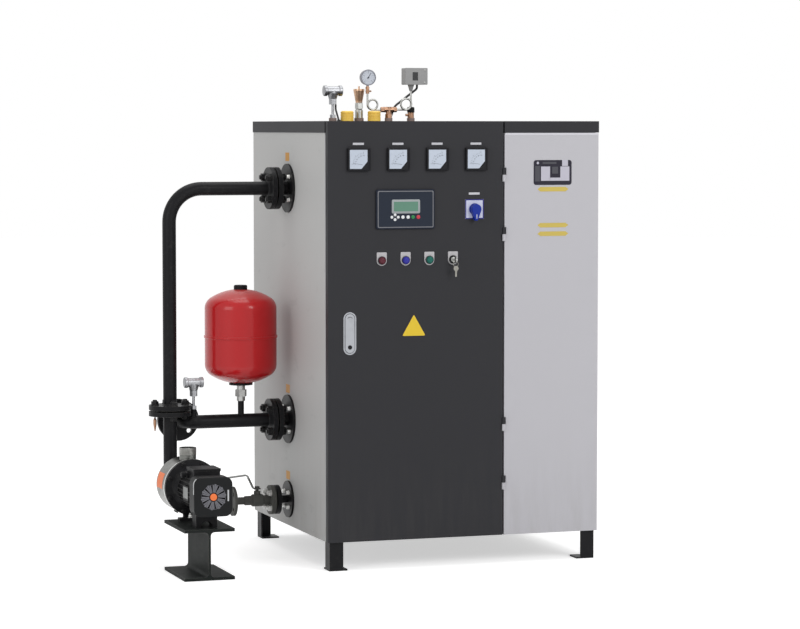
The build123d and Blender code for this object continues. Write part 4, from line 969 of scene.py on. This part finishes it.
build("rating_plate", "boiler", "instrument_plastic", plate_black,
      (slab(rounded(143.0, 87.0, 9.0), 0.6), on_rating(0.0, 0.0)))
fields("rating_fields", "white_plastic", plate_pale, 0.75,
       [(-27.0, -4.0, 34.0, 50.0), (46.0, -4.0, 34.0, 50.0), (9.0, -23.5, 40.0, 11.0),
        (46.5, 33.0, 22.0, 21.0)])
fields("rating_panels", "grey_plastic", plate_grey, 0.7,
       [(-57.0, -4.0, 18.0, 54.0), (9.0, 8.0, 22.0, 24.0), (-12.0, 33.5, 52.0, 7.0)])
build("rating_spot", "boiler", "white_plastic", plate_pale,
      (slab(arc(0.0, 0.0, 4.5, 0, 330, 11), 0.7), on_rating(-56.0, 33.5)))

# %% Yellow strips
strip_yellow = moulded("strip_yellow", paint(198, 176, 86), 0.4, 500.0)
strip_x, strip_heights = 828.0, (1312.0, 1186.0, 1156.0)


def pointed(width, height, point):
    """A band whose two ends run out to a blunt point."""
    right, top = width / 2, height / 2
    corners = [(right - point, top), (point - right, top), (point / 2 - right, top / 2),
               (-right, top / 5), (-right, -top / 5), (point / 2 - right, -top / 2)]
    return corners + [(-x, -z) for x, z in corners]


build("yellow_strips", "boiler", "yellow_plastic", strip_yellow,
      (slab(pointed(114.0, 16.0, 9.0), 0.3), spots(*[(strip_x, 0.0, z) for z in strip_heights])))

# %% [markdown]
# ## Painted highlight on the folded rim
# The top edge of the right sheet is folded back, and the bend catches the light as a bright line.
# A bevel would show it too, but the sheet is one of the model's own pieces and stays as it is. So a
# narrow plate with soft corners stands for the bend, in a paint paler than the sheet: its paler
# colour is a painted highlight.

# %% Painted highlight along the top of the right sheet
rim_height, rim_top = 7.0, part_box("top_cover")[0].z / mm - 1.0
rim_left, rim_right = ((edge.x - wall_low.x) / mm for edge in (panel_low, panel_high))
# A paint paler than the sheet: the painted highlight of the bend.
rim_highlight_paint = moulded("rim_highlight_paint", paint(206, 205, 211), 0.4, 420.0)
build("right_panel_rim_highlight", "boiler", "pale_paint", rim_highlight_paint,
      (slab(rounded(rim_right - rim_left - 4.0, rim_height, 1.0), 0.5),
       at((rim_left + rim_right) / 2, 0.0, rim_top - rim_height / 2)))

# %% [markdown]
# ## Stickers
# A printed sticker marks each port on the left wall. A plate is made to face the front, so each of
# the three places could hold a turn to the left. It is simpler to turn the one plate before build
# repeats it.

# %% Stickers on the left wall
sticker_orange = moulded("sticker_orange", paint(198, 140, 44), 0.45, 400.0)
sticker_y, sticker_heights = 480.0, (1423.5, 593.0, 281.0)
to_left = Matrix.Rotation(-pi / 2, 4, "Z")
sticker = slab(rounded(48.0, 30.0, 2.0), 0.3)
bmesh.ops.rotate(sticker, cent=(0, 0, 0), matrix=to_left.to_3x3(), verts=sticker.verts)
build("port_stickers", "boiler", "yellow_plastic", sticker_orange,
      (sticker, spots(*[(0.0, sticker_y, z) for z in sticker_heights])))

# %% [markdown]
# ## Sheet screws
# The back sheet is held by slotted pan heads down both edges, and two sit low on the left wall,
# where the sheet meets the floor frame. The slot could be cut by a boolean, which often leaves bad
# faces. Here two bisecting planes mark the slot on a turned head, and what lies between is pushed in.

# %% A slotted head
def screw_head(radius, height, slot_width=0.9):
    """A slotted pan head that faces along -Y."""
    outline = [(0, 0), (radius, 0), (radius, height * 0.6), (radius * 0.7, height), (0, height)]
    shape = to_front(turned(outline, 20))
    for side in (-1, 1):
        bmesh.ops.bisect_plane(shape, geom=shape.verts[:] + shape.edges[:] + shape.faces[:],
                               plane_co=(side * slot_width / 2 * mm, 0, 0), plane_no=(1, 0, 0))
    groove = [point for point in shape.verts
              if abs(point.co.x) < slot_width * 0.51 * mm and point.co.y < -height * 0.55 * mm]
    bmesh.ops.translate(shape, verts=groove, vec=(0, height * 0.3 * mm, 0))
    return shape


# %% Screws in the sheets
back_low, back_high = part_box("back_wall")
screw_inset, screw_rows = 25.0, 5
wall_screw_z, wall_screw_ys = 122.5, (168.0, 752.0)
to_back = Matrix.Rotation(pi, 4, "Z")
low, high = back_low.z / mm + screw_inset, back_high.z / mm - 4 * screw_inset
edges = [(edge.x - wall_low.x) / mm for edge in (back_low, back_high)]
back_y = (back_high.y - panel_low.y) / mm
back_screws = [place @ to_back for x in (edges[0] + screw_inset, edges[1] - screw_inset)
               for row in range(screw_rows)
               for place in at(x, back_y, low + (high - low) * row / (screw_rows - 1))]
wall_screws = [place @ to_left for place in spots(*[(0.0, y, wall_screw_z) for y in wall_screw_ys])]
build("sheet_screws", "boiler", "zinc_steel", zinc_plate,
      (screw_head(5.0, 2.2, 1.2), wall_screws), (screw_head(5.0, 2.2, 1.2), back_screws))

# %% [markdown]
# ## Pressure gauge
# The gauge has a white dial, plain marks over three quarters of a turn and a needle a little past
# the middle. The glass could be a disc of its own, but the bezel stands only just proud of the
# dial, so it is a clear coat on the card.

# %% Gauge dial
gauge_x, gauge_z, gauge_front = 298.0, 1707.0, 460.0
dial_first, dial_sweep, dial_steps = 225.0, 270.0, 12
mark_end, dial_circle, dial_words = 22.5, 15.0, ["0", "2", "4", "6", "8"]
dial_card = moulded("dial_card", paint(206, 212, 223), 0.35, 600.0, Coat_Weight=0.3)
gauge_marks = []
for number in range(dial_steps + 1):
    angle = dial_first - dial_sweep * number / dial_steps
    major = number % 3 == 0
    gauge_marks.append(tick(angle, 18.0 if major else 19.5, mark_end, 1.0 if major else 0.6))
gauge_marks.append(tick(58.0, -6.0, 18.5, 2.0))
gauge_marks.append(to_front(turned([(0, 0), (3.0, 0), (3.0, 1.4), (2.2, 2.0), (0, 2.0)], 20)))
dial = to_front(turned([(0, 0), (24.9, 0), (24.9, 0.5), (0, 0.5)], 40))
build("gauge_dial", "boiler", "white_plastic", dial_card, (dial, at(gauge_x, gauge_front, gauge_z)))
dial_front = gauge_front - 0.5
build("gauge_marks", "boiler", "instrument_plastic", dial_ink,
      *[(shape, at(gauge_x, dial_front, gauge_z)) for shape in gauge_marks])
dial_offsets = []
for number in range(len(dial_words)):
    angle = radians(dial_first - dial_sweep * number / (len(dial_words) - 1))
    dial_offsets.append(Vector((dial_circle * cos(angle), 0, dial_circle * sin(angle))))
numbers("gauge_numbers", "boiler", dial_words, 4.2, dial_offsets, [(gauge_x, dial_front, gauge_z)])

# %% [markdown]
# ## Pressure switch
# The switch has a smoked window over its scale and a lid held by two screws. The window is a dark
# plate with a strong clear coat: real smoked glass would only show the same dark behind it.

# %% Switch window and screws
window_place, screw_x, screw_y, screw_heights = (472.0, 449.0, 1712.0), 508.0, 447.0, (1690.0, 1734.0)
smoked = moulded("smoked_window", paint(26, 28, 32), 0.10, 900.0, Coat_Weight=0.6)
build("switch_window", "boiler", "grey_plastic", smoked,
      (slab(rounded(20.6, 29.6, 0.6), 1.2), at(*window_place)))
build("switch_screws", "boiler", "zinc_steel", zinc_plate,
      (screw_head(3.0, 1.8), spots(*[(screw_x, screw_y, z) for z in screw_heights])))

# %% [markdown]
# ## Pump bolts
# Hex bolts join the black adapter to the stainless barrel and hold its foot on the beam. They are
# the flange bolts' nuts again, with eight on one circle and two on the foot.

# %% Bolts on the adapter and the foot
pump_x, pump_z = -434.0, 290.0
adapter_y, adapter_circle, foot_y, foot_z = 174.0, 87.5, 166.0, 187.0
rim_bolts = ring_of(cabinet(pump_x, adapter_y, pump_z), "-Y", adapter_circle, 8, pi / 8)
bolts("adapter_bolts", dict(flats=13.0, head=6.0, stud=0.3), [(rim_bolts, False)],
      pump_enamel, "pump_black")
foot_bolts = spots((pump_x - 12.0, foot_y, foot_z), (pump_x + 38.0, foot_y, foot_z))
bolts("foot_bolts", dict(flats=13.0, head=8.0, stud=6.0), [(foot_bolts, True)], zinc_plate, "zinc_steel")

# %% [markdown]
# ## Rim and thread of the barrel
# The barrel's open end is a polished rolled rim, and the socket on top has a pipe thread. The rim's
# near white tone, paler than stainless, is a painted highlight along the barrel's front edge. A true
# thread is a helix, but its rings are 2.4 mm apart and only their ridges show, so both are turned
# from a closed outline: a band with rounded corners, and a row of crests.

# %% Rim of the barrel, its tone a painted highlight
rim_y, rim_in, rim_out = 190.0, 96.5, 97.3
rim = [(rim_in, 0.8), (97.1, 0.8), (rim_out, 1.4), (rim_out, 7.6), (97.1, 8.2), (rim_in, 8.2),
       (rim_in, 0.8)]
# The rim's near white metal is a painted highlight along the front edge.
build("barrel_rim", "boiler", "stainless", rim_highlight_metal,
      (turned(rim, 72), [place @ facing("Y") for place in at(pump_x, rim_y, pump_z)]))

# %% Thread on the discharge socket
socket_y, thread_low, thread_pitch, thread_turns = 240.0, 397.0, 2.4, 10
thread_back, thread_root, thread_crest = 28.4, 29.1, 30.1
thread = [(thread_back, thread_low)]
for crest in range(thread_turns):
    foot = thread_low + crest * thread_pitch
    thread += [(thread_root, foot), (thread_crest, foot + thread_pitch / 2)]
thread += [(thread_root, foot + thread_pitch), (thread_back, foot + thread_pitch),
           (thread_back, thread_low)]
build("socket_thread", "boiler", "stainless", brushed_stainless,
      (turned(thread, 48), at(pump_x, socket_y, 0.0)))

# %% [markdown]
# ## Petals of the grille
# Pale blades fan out over the grille in groups of three, the middle one longest, like the petals of
# a flower. One group could be copied by an array modifier. A loop over angles says the same in fewer
# steps, and each blade is a plate between two arcs.

# %% Blades
petal_count, petal_blades, blade_turn, blade_gap, petal_first = 10, 3, 7.8, 1.8, 9.0
blade_foot, long_reach, short_reach, blade_back = 15.5, 44.0, 39.5, -99.5
petal_grey = moulded("petal_grey", paint(108, 108, 114), 0.42, 700.0, 0.3)
blades = []
for petal in range(petal_count):
    for number in range(petal_blades):
        middle = petal_first + petal * 360.0 / petal_count + (number - 1) * (blade_turn + blade_gap)
        first, last = middle - blade_turn / 2, middle + blade_turn / 2
        reach = long_reach if number == 1 else short_reach
        outline = arc(0.0, 0.0, blade_foot, first, last, 2) + arc(0.0, 0.0, reach, last, first, 2)
        blades.append((slab(outline, 1.8), at(pump_x, blade_back, pump_z)))
build("grille_petals", "boiler", "grey_plastic", petal_grey, *blades)

# %% [markdown]
# ## Blank plates and painted highlights on the pump
# An orange patch is wrapped on the barrel, and it has to follow its curve. A flat plate could be bent
# by a modifier, but an edge spun through a part of a turn has the curve from the start, and solidify
# gives it a thickness. The grey plate on the motor, the button on the grille's hub and the pale
# strips on the cowl are plates and turned shapes as before. The strips are painted highlights: one
# on the cowl's front and one round its upper left corner.

# %% Patch on the barrel
pump_orange = moulded("pump_orange", paint(240, 122, 62), 0.4, 500.0)
patch_radius, patch_first, patch_turn, patch_steps = 95.0, 152.0, 33.0, 10
patch_x, patch_z = (patch_radius * wave(radians(patch_first)) * mm for wave in (cos, sin))
patch = bmesh.new()
near, far = [patch.verts.new((patch_x, y * mm, patch_z)) for y in (228.0, 300.0)]
line = patch.edges.new((near, far))
bmesh.ops.spin(patch, geom=[near, far, line], cent=(0, 0, 0), axis=(0, -1, 0), angle=radians(patch_turn),
               steps=patch_steps)
bmesh.ops.recalc_face_normals(patch, faces=patch.faces)
bmesh.ops.solidify(patch, geom=patch.faces[:], thickness=-0.4 * mm)
bmesh.ops.recalc_face_normals(patch, faces=patch.faces)
build("barrel_patch", "boiler", "yellow_plastic", pump_orange, (patch, at(pump_x, 0.0, pump_z)))

# %% Motor plate, hub button and painted highlights on the cowl
plate_silver = moulded("plate_silver", paint(132, 134, 133), 0.35, 500.0)
# A pale paint for the strips on the cowl, which are painted highlights.
cowl_highlight_paint = moulded("cowl_highlight_paint", paint(196, 198, 200), 0.35, 500.0)
motor_side, plate_y, cowl_front = -64.0, 27.0, -101.0
highlight_side, highlight_z, band_back = 51.0, 294.0, -88.0
cowl_half, cowl_corner, band_thick = 67.0, 26.0, 0.6
build("motor_plate", "boiler", "grey_plastic", plate_silver,
      (slab(rounded(60.0, 38.0, 3.0), 0.5),
       [place @ to_left for place in at(pump_x + motor_side, plate_y, pump_z + 2.0)]))
button = to_front(turned([(0, 0), (12.0, 0), (12.0, 0.3), (11.2, 0.6), (0, 0.6)], 32))
build("hub_button", "boiler", "yellow_plastic", pump_orange, (button, at(pump_x, cowl_front, pump_z)))
bend = cowl_half - cowl_corner
wrapped = ([(-cowl_half - band_thick, 10.0)] + arc(-bend, bend, cowl_corner + band_thick, 180, 128)
           + arc(-bend, bend, cowl_corner, 128, 180) + [(-cowl_half, 10.0)])
# Two strips of painted highlight: one on the front, one round the upper left corner.
build("cowl_painted_highlights", "boiler", "zinc_steel", cowl_highlight_paint,
      (slab(rounded(5.0, 38.0, 1.0), 0.3), at(pump_x + highlight_side, cowl_front, highlight_z)),
      (slab(wrapped, 8.0), at(pump_x, band_back, pump_z)))

# %% [markdown]
# ## The stage
# The object stands on a plain pale floor under soft light. A white world would light it too much, so
# the floor and the world are white only where the camera or a reflection sees them. The object is
# lit at a plain level, its colours come out about as they are written, and its shadow stays.

# %% White for the camera
def white_for_camera(tree, plain, shown):
    """Mixes a plain shader with the one that the camera, metal and glass see."""
    path = tree.nodes.new("ShaderNodeLightPath")
    shows = path.outputs["Is Camera Ray"]
    for ray in ("Is Glossy Ray", "Is Transmission Ray"):
        either = tree.nodes.new("ShaderNodeMath")
        either.operation = "MAXIMUM"
        tree.links.new(shows, either.inputs[0])
        tree.links.new(path.outputs[ray], either.inputs[1])
        shows = either.outputs[0]
    mixed = tree.nodes.new("ShaderNodeMixShader")
    for number, output in enumerate((shows, plain.outputs[0], shown.outputs[0])):
        tree.links.new(output, mixed.inputs[number])
    return mixed.outputs[0]


# %% World
plain_light, white = 0.55, (1.0, 1.0, 1.0, 1.0)
world = bpy.data.worlds.new("studio")
world.use_nodes = True
bpy.context.scene.world = world
world_nodes = world.node_tree.nodes
sky, bright = world_nodes["Background"], world_nodes.new("ShaderNodeBackground")
for background, strength in ((sky, plain_light), (bright, 1.0)):
    background.inputs["Color"].default_value = white
    background.inputs["Strength"].default_value = strength
world.node_tree.links.new(white_for_camera(world.node_tree, sky, bright),
                          world_nodes["World Output"].inputs[0])
print("world at", plain_light)

# %% Floor
floor_white, floor_radius, floor_glow = (0.84, 0.84, 0.84), 30.0, 0.55
floor_finish = Finish("studio_floor", floor_white, 0.95, Specular_IOR_Level=0.0)
glow = floor_finish.tree.nodes.new("ShaderNodeBsdfPrincipled")
for socket, value in {"Base Color": floor_white, "Specular IOR Level": 0.0,
                      "Emission Color": (1.0, 1.0, 1.0), "Emission Strength": floor_glow}.items():
    floor_finish.plug(glow.inputs[socket], value)
floor_finish.tree.links.new(white_for_camera(floor_finish.tree, floor_finish.shader, glow),
                            floor_finish.tree.nodes["Material Output"].inputs[0])
floor_shape = bmesh.new()
bmesh.ops.create_circle(floor_shape, cap_ends=True, segments=96, radius=floor_radius)
floor_mesh = bpy.data.meshes.new("studio_floor")
floor_shape.to_mesh(floor_mesh)
floor_shape.free()
floor_mesh.materials.append(floor_finish.material)
floor = bpy.data.objects.new("studio_floor", floor_mesh)
bpy.context.scene.collection.objects.link(floor)
print("floor:", floor_radius * 2, "m across")

# %% [markdown]
# ## Light
# A catalogue photograph of a machine is lit by large soft boxes. Small lamps would leave hard
# shadows, so three wide area lamps are used: the key above and to the right of the camera, a weaker
# one on the left and one overhead for the roof.

# %% Lamps
def soft_lamp(name, place, aim, size, power):
    light = bpy.data.lights.new(name, "AREA")
    light.shape = "RECTANGLE"
    light.size, light.size_y = size
    light.energy = power
    lamp = bpy.data.objects.new(name, light)
    lamp.location = place
    lamp.rotation_euler = (Vector(aim) - Vector(place)).to_track_quat("-Z", "Y").to_euler()
    bpy.context.scene.collection.objects.link(lamp)
    print(name, power, "watts")


soft_lamp("key_lamp", (2.6, -5.2, 3.6), (0.3, 0.3, 0.8), (3.0, 2.4), 135)
soft_lamp("fill_lamp", (-4.6, -2.6, 2.4), (0.0, 0.4, 0.8), (2.6, 2.6), 58)
soft_lamp("top_lamp", (0.2, 0.6, 4.6), (0.2, 0.4, 0.0), (3.0, 3.0), 70)

# %% [markdown]
# ## Camera
# The camera was fitted to the cabinet's corners and feet, which gave its place, the turn and dip of
# its line of sight, and a long lens. Setting it by eye would never bring all corners home at once.

# %% Camera
camera_place = (-2.9693, -9.3937, 1.5304)
camera_turn, camera_dip = 18.836, 3.746
sensor_width, focal_length = 36.0, 129.03
camera_data = bpy.data.cameras.new("photo_camera")
camera_data.sensor_width = sensor_width
camera_data.lens = focal_length
camera = bpy.data.objects.new("photo_camera", camera_data)
camera.location = camera_place
camera.rotation_euler = (radians(90.0 - camera_dip), 0.0, radians(-camera_turn))
bpy.context.scene.collection.objects.link(camera)
bpy.context.scene.camera = camera
bpy.context.scene.view_settings.view_transform = "Standard"
print("camera:", focal_length, "mm lens")
